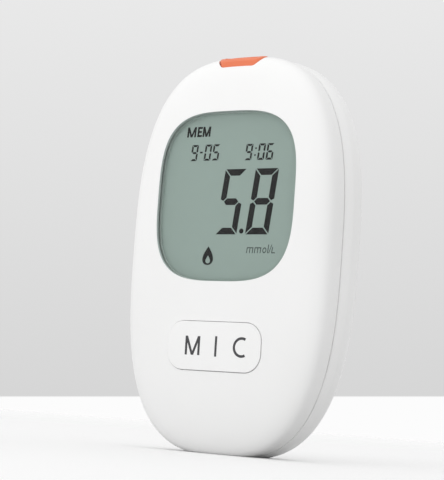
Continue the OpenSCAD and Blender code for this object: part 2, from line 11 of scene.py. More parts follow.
import bmesh
import bpy
import numpy as np
from mathutils import Matrix, Vector
from mathutils.geometry import delaunay_2d_cdt


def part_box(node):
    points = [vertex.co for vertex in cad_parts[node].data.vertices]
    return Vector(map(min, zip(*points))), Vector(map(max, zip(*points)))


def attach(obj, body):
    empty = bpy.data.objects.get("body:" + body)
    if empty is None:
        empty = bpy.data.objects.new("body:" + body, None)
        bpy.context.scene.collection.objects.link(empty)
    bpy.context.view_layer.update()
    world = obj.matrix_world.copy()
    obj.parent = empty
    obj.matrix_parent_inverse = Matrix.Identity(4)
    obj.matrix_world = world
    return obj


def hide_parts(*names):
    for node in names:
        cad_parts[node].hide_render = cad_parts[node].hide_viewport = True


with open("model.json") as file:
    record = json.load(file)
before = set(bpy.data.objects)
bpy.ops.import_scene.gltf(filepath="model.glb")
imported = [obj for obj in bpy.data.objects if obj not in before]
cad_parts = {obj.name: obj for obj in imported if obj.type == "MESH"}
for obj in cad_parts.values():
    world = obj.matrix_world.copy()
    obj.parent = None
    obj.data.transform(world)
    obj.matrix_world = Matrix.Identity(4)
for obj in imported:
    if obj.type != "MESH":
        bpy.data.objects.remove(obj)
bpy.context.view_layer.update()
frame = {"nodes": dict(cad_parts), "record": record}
nodes = frame["nodes"]
MM = 0.001

# %% [markdown]
# ## Sizes
# What another piece fits is read from the CAD node it belongs to, so that the
# looks follow the model. What a box can't tell, such as the power of a curve or
# the radius of a corner, is a named value here, equal to the one in the CAD.


# %% Read the sizes from the nodes
def box_mm(name):
    """The lowest and the highest corner of a node's box."""
    low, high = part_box(name)
    return np.array(low) / MM, np.array(high) / MM


front_high, rear_high = box_mm("front_shell")[1], box_mm("rear_shell")[1]
LIP_H = 1.0  # how far the front shell's tongue stands beyond the seam
SEAM = front_high[1] - LIP_H  # Y of the plane on which the shells part
CROWN = rear_high[2]  # height of the casing
WAIST = CROWN / 2  # the height at which it is widest
HALF_W = front_high[0]
RIM_SWELL = rear_high[0] - front_high[0]  # the rear rim stands out this far sideways
CROWN_SWELL = rear_high[2] - front_high[2]  # and this far at the crown
FOOT_CUT = 0.6  # what the flat foot takes off the outline
FRONT_DEPTH, FACE_TILT, FACE_POWER = 8.3, 0.85, 5  # mm from the seam, degrees, a power
REAR_DEPTH, BACK_TILT, BACK_POWER = 11.97, 2.7, 3
BACK_FLAT = 0.3  # share of the back that has no dome
RIM_Y = 2.9  # the rear rim swells up to this far behind the seam
OUTLINE_POWER = 2.85
WALL = 1.8
SEAM_GAP = 0.2
LIP_IN = 0.9  # from the outline to the tongue's outer side
print(f"seam at y {SEAM:.3f}, half width {HALF_W:.2f}, crown {CROWN:.2f}")

# %% [markdown]
# ## Outlines
# A superellipse with a power above 2 is the egg shape between an oval and a
# rectangle that moulded shells often have. Every outline is a closed loop of
# points, spaced evenly along its length, so that the quads along it are even.


# %% Closed outlines with even spacing
def signed_power(values, power):
    """A power of the size of each value, with the value's own sign."""
    return np.sign(values) * np.abs(values) ** power


def evenly(loop, count):
    """The same closed loop with `count` points, evenly spaced along it."""
    closed = np.vstack([loop, loop[:1]])
    run = np.concatenate([[0], np.cumsum(np.linalg.norm(np.diff(closed, axis=0), axis=1))])
    at = np.linspace(0, run[-1], count, endpoint=False)
    return np.stack([np.interp(at, run, closed[:, k]) for k in (0, 1)], axis=1)


def superellipse(half_w, half_up, half_down, power, count, oversample=40):
    """An egg outline. It is drawn with many more points, and then spaced evenly."""
    turn = np.linspace(0, 2 * np.pi, oversample * count, endpoint=False)
    across = half_w * signed_power(np.cos(turn), 2 / power)
    half_h = np.where(np.sin(turn) > 0, half_up, half_down)
    up = half_h * signed_power(np.sin(turn), 2 / power)
    return evenly(np.stack([across, up], axis=1), count)


def arc(centre, radius, first, last, steps=24):
    """Points of an arc from angle `first` to angle `last`, in degrees."""
    turn = np.radians(np.linspace(first, last, steps))
    return np.array(centre) + radius * np.stack([np.cos(turn), np.sin(turn)], axis=1)


def rounded_box(width, height, radius, steps):
    """A rectangle with round corners. steps: points along x, along y and round a corner."""
    w, h = width / 2 - radius, height / 2 - radius
    corners = [((w, -h), -90), ((w, h), 0), ((-w, h), 90), ((-w, -h), 180)]
    arcs, path = [arc(c, radius, a, a + 90, steps[2] + 1) for c, a in corners], []
    for k, corner in enumerate(arcs):
        side = np.linspace(corner[-1], arcs[(k + 1) % 4][0], steps[(k + 1) % 2] + 1)
        path += [corner, side[1:-1]]
    return np.vstack(path)


def outward(loop):
    """Unit normals in the plane of an anticlockwise loop, pointing out of it."""
    along = np.roll(loop, -1, axis=0) - np.roll(loop, 1, axis=0)
    normal = np.stack([along[:, 1], -along[:, 0]], axis=1)
    return normal / np.linalg.norm(normal, axis=1, keepdims=True)


RIM_POINTS = 320
egg = superellipse(1, 1, 1, OUTLINE_POWER, RIM_POINTS)
print("points round the casing:", len(egg))

# %% [markdown]
# ## The two domes
# Each shell is a dome over the egg outline. Where it meets the seam its wall is
# upright, so a height over the outline is no use there. The dome is unrolled
# instead: a point of the flat map lies as far from the middle as it does when
# measured along the surface. Openings are drawn on that map, it is cut into
# triangles, and the map is folded back into the dome.


# %% The dome and its flat map
PROFILE_STEPS = 2000  # samples of the dome's profile, from the rim to the top


class Dome:
    """One shell's surface, pulled in by `inset`. side is -1 for the face and 1
    for the back, base is how far from the seam the dome begins, and swell and
    lift are what it stands out there beyond the outline."""

    def __init__(self, side, depth, tilt, power, flat, base, swell, lift, inset=0.0):
        self.side, self.depth, self.power = side, depth - inset, power
        self.slope, self.flat, self.base = math.tan(math.radians(tilt)), flat, base
        self.half_w = HALF_W + swell - inset
        self.half_up = CROWN - CROWN_SWELL + lift - WAIST - inset
        self.half_down = WAIST + FOOT_CUT + lift - inset
        low = np.linspace(0, 0.5 ** (1 / power), PROFILE_STEPS)
        other = (1 - low**power) ** (1 / power)
        self.rise = np.concatenate([low, other[-2::-1]])  # 0 at the rim, 1 on top
        self.share = flat + (1 - flat) * np.concatenate([other, low[-2::-1]])
        inwards = np.diff(self.share) * self.half_w
        upwards = np.diff(self.rise) * (self.depth - base)
        run = np.concatenate([[0], np.cumsum(np.hypot(inwards, upwards))])
        self.reach = flat + (run[-1] - run) / self.half_w  # from the middle of the map

    def half_height(self, up):
        return np.where(up > 0, self.half_up, self.half_down)

    def spread(self, across, up):
        """0 in the middle and 1 on the outline."""
        n = OUTLINE_POWER
        sideways, upright = np.abs(across / self.half_w), np.abs(up / self.half_height(up))
        return (sideways**n + upright**n) ** (1 / n)

    def depth_at(self, z):
        return self.depth + self.slope * (z - WAIST) - self.base

    def fold(self, flat_points):
        """Points in space for points of the flat map."""
        across, up = flat_points[:, 0], flat_points[:, 1]
        reach = np.maximum(self.spread(across, up), 1e-9)
        share = np.interp(reach, self.reach[::-1], self.share[::-1])
        share = np.where(reach < self.flat, reach, share)
        rise = np.interp(reach, self.reach[::-1], self.rise[::-1])
        x, z = across * share / reach, WAIST + up * share / reach
        y = SEAM + self.side * (self.base + self.depth_at(z) * rise)
        return np.stack([x, y, z], axis=1)

    def lay_face(self, loop):
        """Map points for [x, z] points on the face or the back."""
        across, up = loop[:, 0], loop[:, 1] - WAIST
        share = np.maximum(self.spread(across, up), 1e-9)
        reach = np.interp(share, self.share[::-1], self.reach[::-1])
        reach = np.where(share < self.flat, share, reach)
        return np.stack([across, up], axis=1) * (reach / share)[:, None]

    def lay_crown(self, loop):
        """Map points for [x, y] points on the crown."""
        x, deep = loop[:, 0], np.abs(loop[:, 1] - SEAM) - self.base
        up = np.full(len(x), self.half_up)
        for _ in range(12):  # the tilt is small, so a few rounds settle the height
            rise = deep / self.depth_at(WAIST + up)
            share = self.flat + (1 - self.flat) * (1 - rise**self.power) ** (1 / self.power)
            rest = share**OUTLINE_POWER - np.abs(x / self.half_w) ** OUTLINE_POWER
            up = self.half_up * rest ** (1 / OUTLINE_POWER)
        reach = np.interp(rise, self.rise, self.reach)
        return np.stack([x, up], axis=1) * (reach / share)[:, None]

    def lay_rim(self, height):
        """Map points of the rim, where the dome is `height` away from its base."""
        across, up = egg[:, 0] * self.half_w, egg[:, 1] * self.half_height(egg[:, 1])
        rise = height / self.depth_at(WAIST + up)
        reach = np.interp(rise, self.rise, self.reach)
        return np.stack([across, up], axis=1) * reach[:, None]

    def normal(self, points):
        """Unit normals of the dome at points that lie on it."""
        x, up = points[:, 0], points[:, 2] - WAIST
        n, p, half_h = OUTLINE_POWER, self.power, self.half_height(up)
        depth = self.depth_at(points[:, 2])
        rise = np.clip((self.side * (points[:, 1] - SEAM) - self.base) / depth, 0, 1)
        share = np.maximum(self.spread(x, up), 1e-9)
        cut = np.clip((share - self.flat) / (1 - self.flat), 0, 1)
        lean = cut ** (p - 1) / (1 - self.flat) * share ** (1 - n)
        gx = lean * signed_power(x, n - 1) / self.half_w**n
        gz = lean * signed_power(up, n - 1) / half_h**n - rise**p * self.slope / depth
        gy = self.side * np.maximum(rise, 1e-6) ** (p - 1) / depth
        grad = np.stack([gx, gy, gz], axis=1)
        return grad / np.linalg.norm(grad, axis=1, keepdims=True)

    def miss(self, points):
        """How far points lie from the dome, roughly, in millimetres."""
        share = self.spread(points[:, 0], points[:, 2] - WAIST)
        cut = np.clip((share - self.flat) / (1 - self.flat), 0, None)
        depth = self.depth_at(points[:, 2])
        rise = np.clip((self.side * (points[:, 1] - SEAM) - self.base) / depth, 0, None)
        level = (cut**self.power + rise**self.power) ** (1 / self.power)
        return np.abs(level - 1) * np.minimum(depth, self.half_w)


def face_dome(inset=0.0):
    return Dome(-1, FRONT_DEPTH, FACE_TILT, FACE_POWER,
                flat=0.0, base=0.0, swell=0.0, lift=0.0, inset=inset)


def back_dome(inset=0.0):
    return Dome(1, REAR_DEPTH, BACK_TILT, BACK_POWER,
                flat=BACK_FLAT, base=RIM_Y, swell=RIM_SWELL, lift=CROWN_SWELL, inset=inset)


face, back = face_dome(), back_dome()
print("face reaches y", round(float(face.fold(np.zeros((1, 2)))[0, 1]), 3))

# %% [markdown]
# ## Triangles between outlines
# A constrained triangulation joins the rim, the openings and a field of even
# points between them, and keeps every outline as edges. Near the rim the field
# is rings, because the dome bends most there.


# %% Fill a flat map and cut it into triangles
def inside(points, loop):
    """Which points lie in a closed loop, by counting the edges to one side."""
    hit = np.zeros(len(points), bool)
    for (x0, y0), (x1, y1) in zip(loop, np.roll(loop, -1, axis=0)):
        if y0 != y1:
            crosses = (points[:, 1] < y0) != (points[:, 1] < y1)
            hit ^= crosses & (points[:, 0] < x0 + (points[:, 1] - y0) * (x1 - x0) / (y1 - y0))
    return hit


def clear_of(points, loops, room, batch=500):
    """The points that lie further than `room` from every point of the loops."""
    near = np.vstack(loops)
    keep = np.ones(len(points), bool)
    for k in range(0, len(points), batch):
        gap = np.linalg.norm(points[k : k + batch, None] - near[None], axis=2).min(axis=1)
        keep[k : k + batch] = gap > room
    return points[keep]


def outside(points, holes):
    """Which points lie in none of the loops."""
    keep = np.ones(len(points), bool)
    for hole in holes:
        keep &= ~inside(points, hole)
    return keep


def field(outer, holes, pitch):
    """Points of a triangular grid inside `outer` and outside `holes`."""
    low, high = outer.min(axis=0), outer.max(axis=0)
    rows = np.arange(low[1], high[1], pitch * math.sqrt(0.75))
    columns = np.arange(low[0], high[0], pitch)
    grid = np.array([(x + pitch / 2 * (k % 2), y) for k, y in enumerate(rows) for x in columns])
    keep = inside(grid, outer) & outside(grid, holes)
    return clear_of(grid[keep], [outer, *holes], 0.6 * pitch)


SAME_POINT = 1e-7  # points nearer than this are one
SLIVER = 1e-4  # a region with no triangle above half this area is a sliver on a loop


def triangulate(outer, holes, filling):
    """Triangles between closed loops. They are sorted into regions that the loops
    part, and a region is kept if its largest triangle lies where it should."""
    edges, start = [], 0
    for loop in (outer, *holes):
        count = len(loop)
        edges += [(start + i, start + (i + 1) % count) for i in range(count)]
        start += count
    flat = [Vector(p) for p in np.vstack([outer, *holes, filling])]
    out, out_edges, faces, _, sources, _ = delaunay_2d_cdt(flat, edges, [], 0, SAME_POINT)
    points, faces = np.array([tuple(p) for p in out]), np.array(faces)
    walls = {tuple(sorted(edge)) for edge, source in zip(out_edges, sources) if source}
    beside = {}
    for k, face in enumerate(faces.tolist()):
        for a, b in zip(face, face[1:] + face[:1]):
            beside.setdefault((min(a, b), max(a, b)), []).append(k)
    links = [[] for _ in faces]
    for edge, pair in beside.items():
        if edge not in walls and len(pair) == 2:
            links[pair[0]].append(pair[1])
            links[pair[1]].append(pair[0])
    a, b, c = (points[faces[:, k]] for k in range(3))
    area = np.abs((b - a)[:, 0] * (c - a)[:, 1] - (b - a)[:, 1] * (c - a)[:, 0])
    middle = (a + b + c) / 3
    wanted = inside(middle, outer) & outside(middle, holes)
    keep, seen = [], set()
    for first in range(len(faces)):
        if first in seen:
            continue
        region, queue = [], [first]
        seen.add(first)
        while queue:
            k = queue.pop()
            region.append(k)
            fresh = [j for j in links[k] if j not in seen]
            seen.update(fresh)
            queue += fresh
        largest = region[int(np.argmax(area[region]))]
        if wanted[largest] and area[largest] > SLIVER:
            keep += region
    return points, faces[keep]


CALM = 0.72  # the share of the outline inside which a dome bends little


def dome_patch(dome, rim, holes, pitch):
    """Triangles of a dome inside `rim` and outside `holes`, all on its flat map."""
    edge = dome.spread(rim[:, 0], rim[:, 1]).min()
    count = max(2, round((edge - CALM) * dome.half_w / (0.45 * pitch)))
    rings = [rim * r for r in np.linspace(CALM, edge, count, endpoint=False)[1:] / edge]
    filling = [field(rim * CALM / edge, holes, pitch)]
    filling = np.vstack(filling + [ring[outside(ring, holes)] for ring in rings])
    if holes:
        filling = clear_of(filling, holes, 0.35 * pitch)
    points, faces = triangulate(rim, holes, filling)
    return dome.fold(points), faces


def even_patch(dome, rim, holes, pitch):
    """The same for a patch that lies away from the dome's rim, with an even field."""
    points, faces = triangulate(rim, holes, field(rim, holes, pitch))
    return dome.fold(points), faces


# %% [markdown]
# ## A body from patches and bands
# A moulded piece is a closed surface: patches of dome, rounded edges, walls and
# rims. Neighbours share their loops of points, so the pieces weld into one mesh
# with no boolean, and the edges keep an exact radius. Afterwards each corner on
# a dome gets the dome's own normal, which makes the gloss run without ripples.


# %% Collect faces and weld them into an object
WELD = 2e-4  # points nearer than this are welded


class Body:
    """Points and faces that become one piece."""

    def __init__(self):
        self.points, self.faces, self.count = [], [], 0

    def patch(self, points, faces):
        self.faces += [[int(i) + self.count for i in face] for face in faces]
        self.points.append(points)
        self.count += len(points)

    def band(self, *loops):
        """Quads between closed loops that have as many points each."""
        for low, high in zip(loops, loops[1:]):
            n = len(low)
            quads = [(i, (i + 1) % n, n + (i + 1) % n, n + i) for i in range(n)]
            self.patch(np.vstack([low, high]), quads)

    def lid(self, loop):
        """A flat cover over a loop."""
        self.patch(loop, [range(len(loop))])

    def block(self, low, high):
        """A box between two corners, with its own closed surface."""
        (x0, y0, z0), (x1, y1, z1) = low, high
        ring = np.array([(x0, y0), (x1, y0), (x1, y1), (x0, y1)])
        bottom, top = (np.column_stack([ring, np.full(4, z)]) for z in (z0, z1))
        self.band(bottom, top)
        self.lid(bottom)
        self.lid(top)

    def build(self, name):
        """Welds the faces, turns them all outwards and makes the object."""
        points = np.vstack(self.points)
        points[:, 2] = np.maximum(points[:, 2], 0)  # the foot is trimmed flat
        mesh = bpy.data.meshes.new(name)
        mesh.from_pydata([tuple(p) for p in points * MM], [], self.faces)
        piece = bpy.data.objects.new(name, mesh)
        bpy.context.scene.collection.objects.link(piece)
        bm = bmesh.new()
        bm.from_mesh(mesh)
        bmesh.ops.remove_doubles(bm, verts=bm.verts, dist=WELD * MM)
        bmesh.ops.dissolve_degenerate(bm, edges=bm.edges, dist=WELD / 2 * MM)
        bmesh.ops.recalc_face_normals(bm, faces=bm.faces)
        open_edges = sum(not e.is_manifold for e in bm.edges)
        bm.to_mesh(mesh)
        bm.free()
        print(f"{name}: {len(mesh.polygons)} faces, {open_edges} open edges")
        return piece


ON_DOME = 0.01  # a corner this near a dome lies on it


def smooth(piece, *domes, angle=35):
    """Smooth shading with sharp edges over `angle`, and true normals on domes."""
    mesh = piece.data
    bm = bmesh.new()
    bm.from_mesh(mesh)
    for face_ in bm.faces:
        face_.smooth = True
    sharp = math.radians(angle)
    for edge in bm.edges:
        edge.smooth = edge.is_manifold and edge.calc_face_angle(math.pi) < sharp
    bm.to_mesh(mesh)
    bm.free()
    count = len(mesh.loops)
    corner, at = np.zeros(count, int), np.zeros(len(mesh.vertices) * 3)
    mesh.loops.foreach_get("vertex_index", corner)
    mesh.vertices.foreach_get("co", at)
    at = at.reshape(-1, 3)[corner] / MM
    flat, sizes = np.zeros(len(mesh.polygons) * 3), np.zeros(len(mesh.polygons), int)
    mesh.polygons.foreach_get("normal", flat)
    mesh.polygons.foreach_get("loop_total", sizes)
    facing = np.repeat(flat.reshape(-1, 3), sizes, axis=0)
    normals = np.zeros((count, 3))
    for dome in domes:
        true = dome.normal(at)
        near = (dome.miss(at) < ON_DOME) & (at[:, 2] > ON_DOME)  # and above the foot
        on_it = near & ((true * facing).sum(axis=1) > 0.9)
        normals[on_it] = true[on_it]
    mesh.normals_split_custom_set([tuple(n) for n in normals])
    return piece


def rounded_edge(points, normals, ends, radius, steps=5):
    """Loops of a round that leaves a surface at `points` and turns to face `ends`."""
    turn = np.arccos(np.clip((normals * ends).sum(axis=1), -1, 1))[:, None]
    loops = []
    for part in np.linspace(0, 1, steps + 1):
        left, gone = np.sin((1 - part) * turn), np.sin(part * turn)
        facing = (left * normals + gone * ends) / np.sin(turn)
        loops.append(points - radius * normals + radius * facing)
    return loops


def dome_edge(dome, flat, towards, radius, axis=1, steps=5):
    """A rounded edge that leaves a dome at a loop of its flat map and turns to face
    `towards`, directions that are square to `axis`."""
    points = dome.fold(flat)
    ends = np.insert(towards, axis, 0, axis=1)
    return rounded_edge(points, dome.normal(points), ends, radius, steps)


def at_y(loop, y):
    """The same loop, moved along Y onto a plane or onto given heights."""
    moved = loop.copy()
    moved[:, 1] = y
    return moved


def on_plane(loop, y):
    """Points in space for an [x, z] loop."""
    return np.column_stack([loop[:, 0], np.full(len(loop), y), loop[:, 1]])


# %% [markdown]
# ## Front shell
# The real shell is one moulding with three openings: the display, the key and
# the strip port. Each opening's edge is rounded as a mould's is, the display
# opening has a pocket behind it for the window, and a tongue stands at the rim.

# %% The openings' outlines
window_low, window_high = box_mm("display_window")
LENS_MARGIN = 1.6  # the window is this much larger than its opening
LENS_GAP = 0.15
WINDOW_POWER = 3.38
WINDOW_EDGE = 0.15  # radius of the opening's edge
WINDOW_Z = (window_low[2] + window_high[2]) / 2
WINDOW_W = window_high[0] - window_low[0] - 2 * LENS_MARGIN
WINDOW_H = window_high[2] - window_low[2] - 2 * LENS_MARGIN
LEDGE_Y = box_mm("window_adhesive")[0][1]  # the window is taped to this ledge


def window_outline(grow, count=240):
    """The display opening as an [x, z] loop, made larger by `grow` all round."""
    half_w, half_h = WINDOW_W / 2 + grow, WINDOW_H / 2 + grow
    return superellipse(half_w, half_h, half_h, WINDOW_POWER, count) + [0, WINDOW_Z]


key_low, key_high = box_mm("rocker_key")
KEY_FLANGE = 1.0  # the flange reaches this far beyond the cap
KEY_W = key_high[0] - key_low[0] - 2 * KEY_FLANGE
KEY_H, KEY_R = 11.5, 4.3
KEY_GAP, KEY_GROW = 0.17, 0.05  # the opening and the cap are this much larger
KEY_Z = (key_low[2] + key_high[2]) / 2
KEY_PROUD = 0.25
KEY_STEPS = (26, 6, 16)  # points along x, along z and round a corner
OPENING_EDGE = 0.12


def key_outline(grow):
    box = rounded_box(KEY_W + 2 * grow, KEY_H + 2 * grow, KEY_R + grow, KEY_STEPS)
    return box + [0, KEY_Z]


PORT_W, PORT_D, PORT_R, PORT_GAP = 13.0, 5.2, 2.5, 0.12
PORT_Y = SEAM - 4.1
PORT_PROUD = 0.2
PORT_FLANGE_Z = CROWN - 7.1  # underside of the port's flange
PORT_STEPS = (18, 4, 14)


def port_outline(grow):
    box = rounded_box(PORT_W + 2 * grow, PORT_D + 2 * grow, PORT_R + grow, PORT_STEPS)
    return box + [0, PORT_Y]


print(f"display opening {WINDOW_W:.1f} x {WINDOW_H:.1f}, key {KEY_W:.1f} x {KEY_H:.1f} mm")


# %% Cut an opening into a dome
def opening_on_face(body, outer, inner, outline, edge_r, inner_outline=None, step_y=None):
    """Rounded edge and wall of an opening that looks along Y. With step_y, a ledge
    there widens the opening to inner_outline. Returns both flat holes."""
    loop = outline(edge_r)
    hole = outer.lay_face(loop)
    edge = dome_edge(outer, hole, -outward(loop), edge_r)
    body.band(*edge)
    last = edge[-1]
    if step_y is not None:
        wide = on_plane(inner_outline(len(loop)), step_y)
        body.band(last, at_y(last, step_y), wide)
        last = wide
    inner_hole = inner.lay_face(last[:, [0, 2]])
    body.band(last, inner.fold(inner_hole))
    return hole, inner_hole


def rim_loops(dome, outer_y, edge_r, side):
    """The rounded edge at a shell's rim, from the dome to the rim's flat face."""
    flat = dome.lay_rim(abs(outer_y - SEAM) + edge_r - dome.base)
    points = dome.fold(flat)
    ends = np.tile([0.0, -side, 0.0], (len(points), 1))
    return flat, rounded_edge(points, dome.normal(points), ends, edge_r)


HALF_HEIGHT = np.where(egg[:, 1] > 0, CROWN - CROWN_SWELL - WAIST, WAIST + FOOT_CUT)


def egg_loop(inset, y):
    """The front shell's outline, moved inwards, on a plane."""
    up = egg[:, 1] * (HALF_HEIGHT - inset)
    return np.column_stack([egg[:, 0] * (HALF_W - inset), np.full(len(egg), y), WAIST + up])


# %% Build the front shell
SEAM_EDGE = 0.25
SKIN_PITCH, HIDDEN_PITCH = 1.1, 2.4  # sides of the triangles that show and that don't
face_inner = face_dome(WALL)
shell = Body()
window_hole, pocket_hole = opening_on_face(
    shell, face, face_inner, window_outline, WINDOW_EDGE,
    lambda count: window_outline(LENS_MARGIN + LENS_GAP, count), LEDGE_Y)
key_hole, key_inner_hole = opening_on_face(
    shell, face, face_inner, lambda grow: key_outline(grow + KEY_GAP), OPENING_EDGE)

port_loop = port_outline(PORT_GAP + OPENING_EDGE)
port_hole = face.lay_crown(port_loop)
port_edge = dome_edge(face, port_hole, -outward(port_loop), OPENING_EDGE, axis=2)
port_foot = port_edge[-1].copy()
for _ in range(200):  # moves the wall's foot back until no part of it lies below the flange
    port_inner_hole = face_inner.lay_crown(port_foot[:, :2])
    low = face_inner.fold(port_inner_hole)[:, 2] < PORT_FLANGE_Z - 0.05
    port_foot[low, 1] += 0.01
port_foot = face_inner.fold(port_inner_hole)
port_step = port_edge[-1].copy()
port_step[:, 2] = port_foot[:, 2]
shell.band(*port_edge, port_step, port_foot)

rim_flat, rim_edge = rim_loops(face, SEAM - SEAM_GAP / 2, SEAM_EDGE, -1)
inner_rim = face_inner.lay_rim(0.0)
shell.band(*rim_edge, egg_loop(LIP_IN, SEAM - SEAM_GAP / 2), egg_loop(LIP_IN, SEAM + LIP_H),
           egg_loop(WALL, SEAM + LIP_H), face_inner.fold(inner_rim))
shell.patch(*dome_patch(face, rim_flat, [window_hole, key_hole, port_hole], SKIN_PITCH))
inner_holes = [pocket_hole, key_inner_hole, port_inner_hole]
shell.patch(*dome_patch(face_inner, inner_rim, inner_holes, HIDDEN_PITCH))
front_shell = smooth(shell.build("front_shell_moulding"), face)

# %% [markdown]
# ## What stands behind the face
# Screw bosses, board posts and the ears for the key's pins are part of the same
# moulding. They are plain rods and blocks, so they are joined with a Manifold
# boolean, which is exact for closed meshes, and their bores are cut the same
# way.


# %% Rods, and a boolean that joins or cuts
def rod(body, centre, radius, low, high, axis=1, count=40):
    """A rod along one axis. low may hold one value for each point of its circle."""
    others = [k for k in range(3) if k != axis]
    ends = np.zeros((2, count, 3))
    ends[:, :, others] = np.array(centre) + radius * circle_of(count)
    ends[0, :, axis], ends[1, :, axis] = low, high
    body.band(*ends)
    body.lid(ends[0])
    body.lid(ends[1])


def circle_of(count):
    turn = np.linspace(0, 2 * np.pi, count, endpoint=False)
    return np.stack([np.cos(turn), np.sin(turn)], axis=1)


def combine(piece, body, operation):
    """Joins a body to a piece, or cuts it out, and keeps the result as its mesh."""
    tool = body.build("tool")
    change = piece.modifiers.new("combine", "BOOLEAN")
    change.object, change.operation, change.solver = tool, operation, "MANIFOLD"
    graph = bpy.context.evaluated_depsgraph_get()
    result = bpy.data.meshes.new_from_object(piece.evaluated_get(graph))
    piece.modifiers.clear()
    piece.data = result
    bpy.data.objects.remove(tool)
    return piece


# %% Add the bosses, posts and ears
SCREWS = [(x * side, z) for x, z in ((16.4, CROWN - 9.6), (14.0, 12.0)) for side in (-1, 1)]
SCREW_SEAT = SEAM + 4.0  # the case screws' heads lie on this plane
BOSS_R, PILOT_R, POST_R, POST_PILOT_R = 2.3, 1.0, 1.9, 0.65
EAR_HALF_W, EAR_T, EAR_WALL, PIN_R, PIN_PLAY = 2, 1.4, 0.5, 0.7, 0.05
board_front = box_mm("main_board")[0][1]
post_screw_low, post_screw_high = box_mm("board_screws")
SCREW_HEAD_R = 1.3
POST_X = post_screw_high[0] - SCREW_HEAD_R
POST_Z = (post_screw_low[2] + post_screw_high[2]) / 2
PIVOT_Y = frame["record"]["behaviour"]["joints"][0]["pos_m"][1] / MM
EARS = KEY_H / 2 + KEY_FLANGE + 0.2  # from the key's middle to an ear
middle_skin = face_dome(WALL / 2)


def wall_front(centre, radius, count=40):
    """Where a rod's circle ends in the middle of the face's wall."""
    circle = np.array(centre) + radius * circle_of(count)
    return middle_skin.fold(middle_skin.lay_face(circle))[:, 1]


added, cut = Body(), Body()
for spot in SCREWS:
    rod(added, spot, BOSS_R, wall_front(spot, BOSS_R), SEAM - SEAM_GAP / 2)
    rod(cut, spot, PILOT_R, SEAM - 4.7, SEAM + 2)
for side in (-1, 1):
    post = (side * POST_X, POST_Z)
    rod(added, post, POST_R, wall_front(post, POST_R), board_front)
    rod(cut, post, POST_PILOT_R, SEAM - 5.6, SEAM)
    z0, z1 = sorted((KEY_Z + side * EARS, KEY_Z + side * (EARS + EAR_T)))
    ear_back = PIVOT_Y + PIN_R + PIN_PLAY + EAR_WALL
    added.block((-EAR_HALF_W, SEAM - 7.2, z0), (EAR_HALF_W, ear_back, z1))
bore_end = EARS + EAR_T + 0.1
rod(cut, (0, PIVOT_Y), PIN_R + PIN_PLAY, KEY_Z - bore_end, KEY_Z + bore_end, axis=2)
combine(front_shell, added, "UNION")
combine(front_shell, cut, "DIFFERENCE")
smooth(front_shell, face)
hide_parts("front_shell")
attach(front_shell, "casing")
print("front shell:", len(front_shell.data.polygons), "faces")

# %% [markdown]
# ## Rear shell
# The rear half swells outwards just behind the seam, which gives the casing its
# soft rim, and then closes in a dome with a flat middle. It carries the pocket
# for the battery door, the battery bay and four recessed screw holes.


# %% The rim's swell
def swell_loop(inset, y):
    """The rear shell's outline `y` behind the seam, while its rim swells out."""
    grow = np.sin(np.pi / 2 * np.clip(y / RIM_Y, 0, 1))
    x = egg[:, 0] * (HALF_W + RIM_SWELL * grow - inset)
    z = WAIST + egg[:, 1] * (HALF_HEIGHT + CROWN_SWELL * grow - inset)
    return np.column_stack([x, SEAM + y + np.zeros(len(egg)), z])


def swell_normal(y):
    """Unit normals along that loop, from its rate of change along Y."""
    loop, step = swell_loop(0, y), 0.01
    rate = (swell_loop(0, y + step) - swell_loop(0, y - step)) / (2 * step)
    flat = outward(loop[:, [0, 2]])
    lean = rate[:, 0] * flat[:, 0] + rate[:, 2] * flat[:, 1]
    normal = np.column_stack([flat[:, 0], -lean, flat[:, 1]])
    return normal / np.linalg.norm(normal, axis=1, keepdims=True)


rim_start = np.full(len(egg), SEAM_GAP / 2 + SEAM_EDGE)
for _ in range(6):  # the round's far end and the surface it leaves settle together
    rim_start = SEAM_GAP / 2 + SEAM_EDGE * (1 + swell_normal(rim_start)[:, 1])
print("the rear rim starts at", np.round([rim_start.min(), rim_start.max()], 3).tolist())

# %% Sizes of the door and the bay
DOOR_T, DOOR_GAP, DOOR_R = 1.4, 0.3, 3.0
DOOR_HALF = box_mm("battery_door")[1][0]
DOOR_FOOT, DOOR_TOP = 36.0, CROWN - 7.2
BAY_HALF, BAY_FOOT, BAY_TOP, BAY_WALL = 10.9, 38.6, CROWN - 8.6, 1.0
BAY_FLOOR = SEAM - 1.9  # the bay reaches into the front half
BACK_Y = SEAM + REAR_DEPTH + math.tan(math.radians(BACK_TILT)) * (DOOR_FOOT - WAIST)
POCKET_EDGE, SCREW_EDGE, DOOR_EDGE = 0.22, 0.3, 0.18  # radii of the edges
HOOK_X = 7.0  # the door's hooks stand this far to each side


def door_rect(grow):
    height = DOOR_TOP - DOOR_FOOT + 2 * grow
    box = rounded_box(2 * (DOOR_HALF + grow), height, DOOR_R + grow, (40, 100, 16))
    return box + [0, (DOOR_FOOT + DOOR_TOP) / 2]


def bay_rect(grow):
    height = BAY_TOP - BAY_FOOT + 2 * grow
    box = rounded_box(2 * (BAY_HALF + grow), height, 0.3 + grow, (24, 54, 4))
    return box + [0, (BAY_FOOT + BAY_TOP) / 2]


print(f"door {2 * DOOR_HALF:.1f} x {DOOR_TOP - DOOR_FOOT:.1f} mm, back at y {BACK_Y:.2f}")

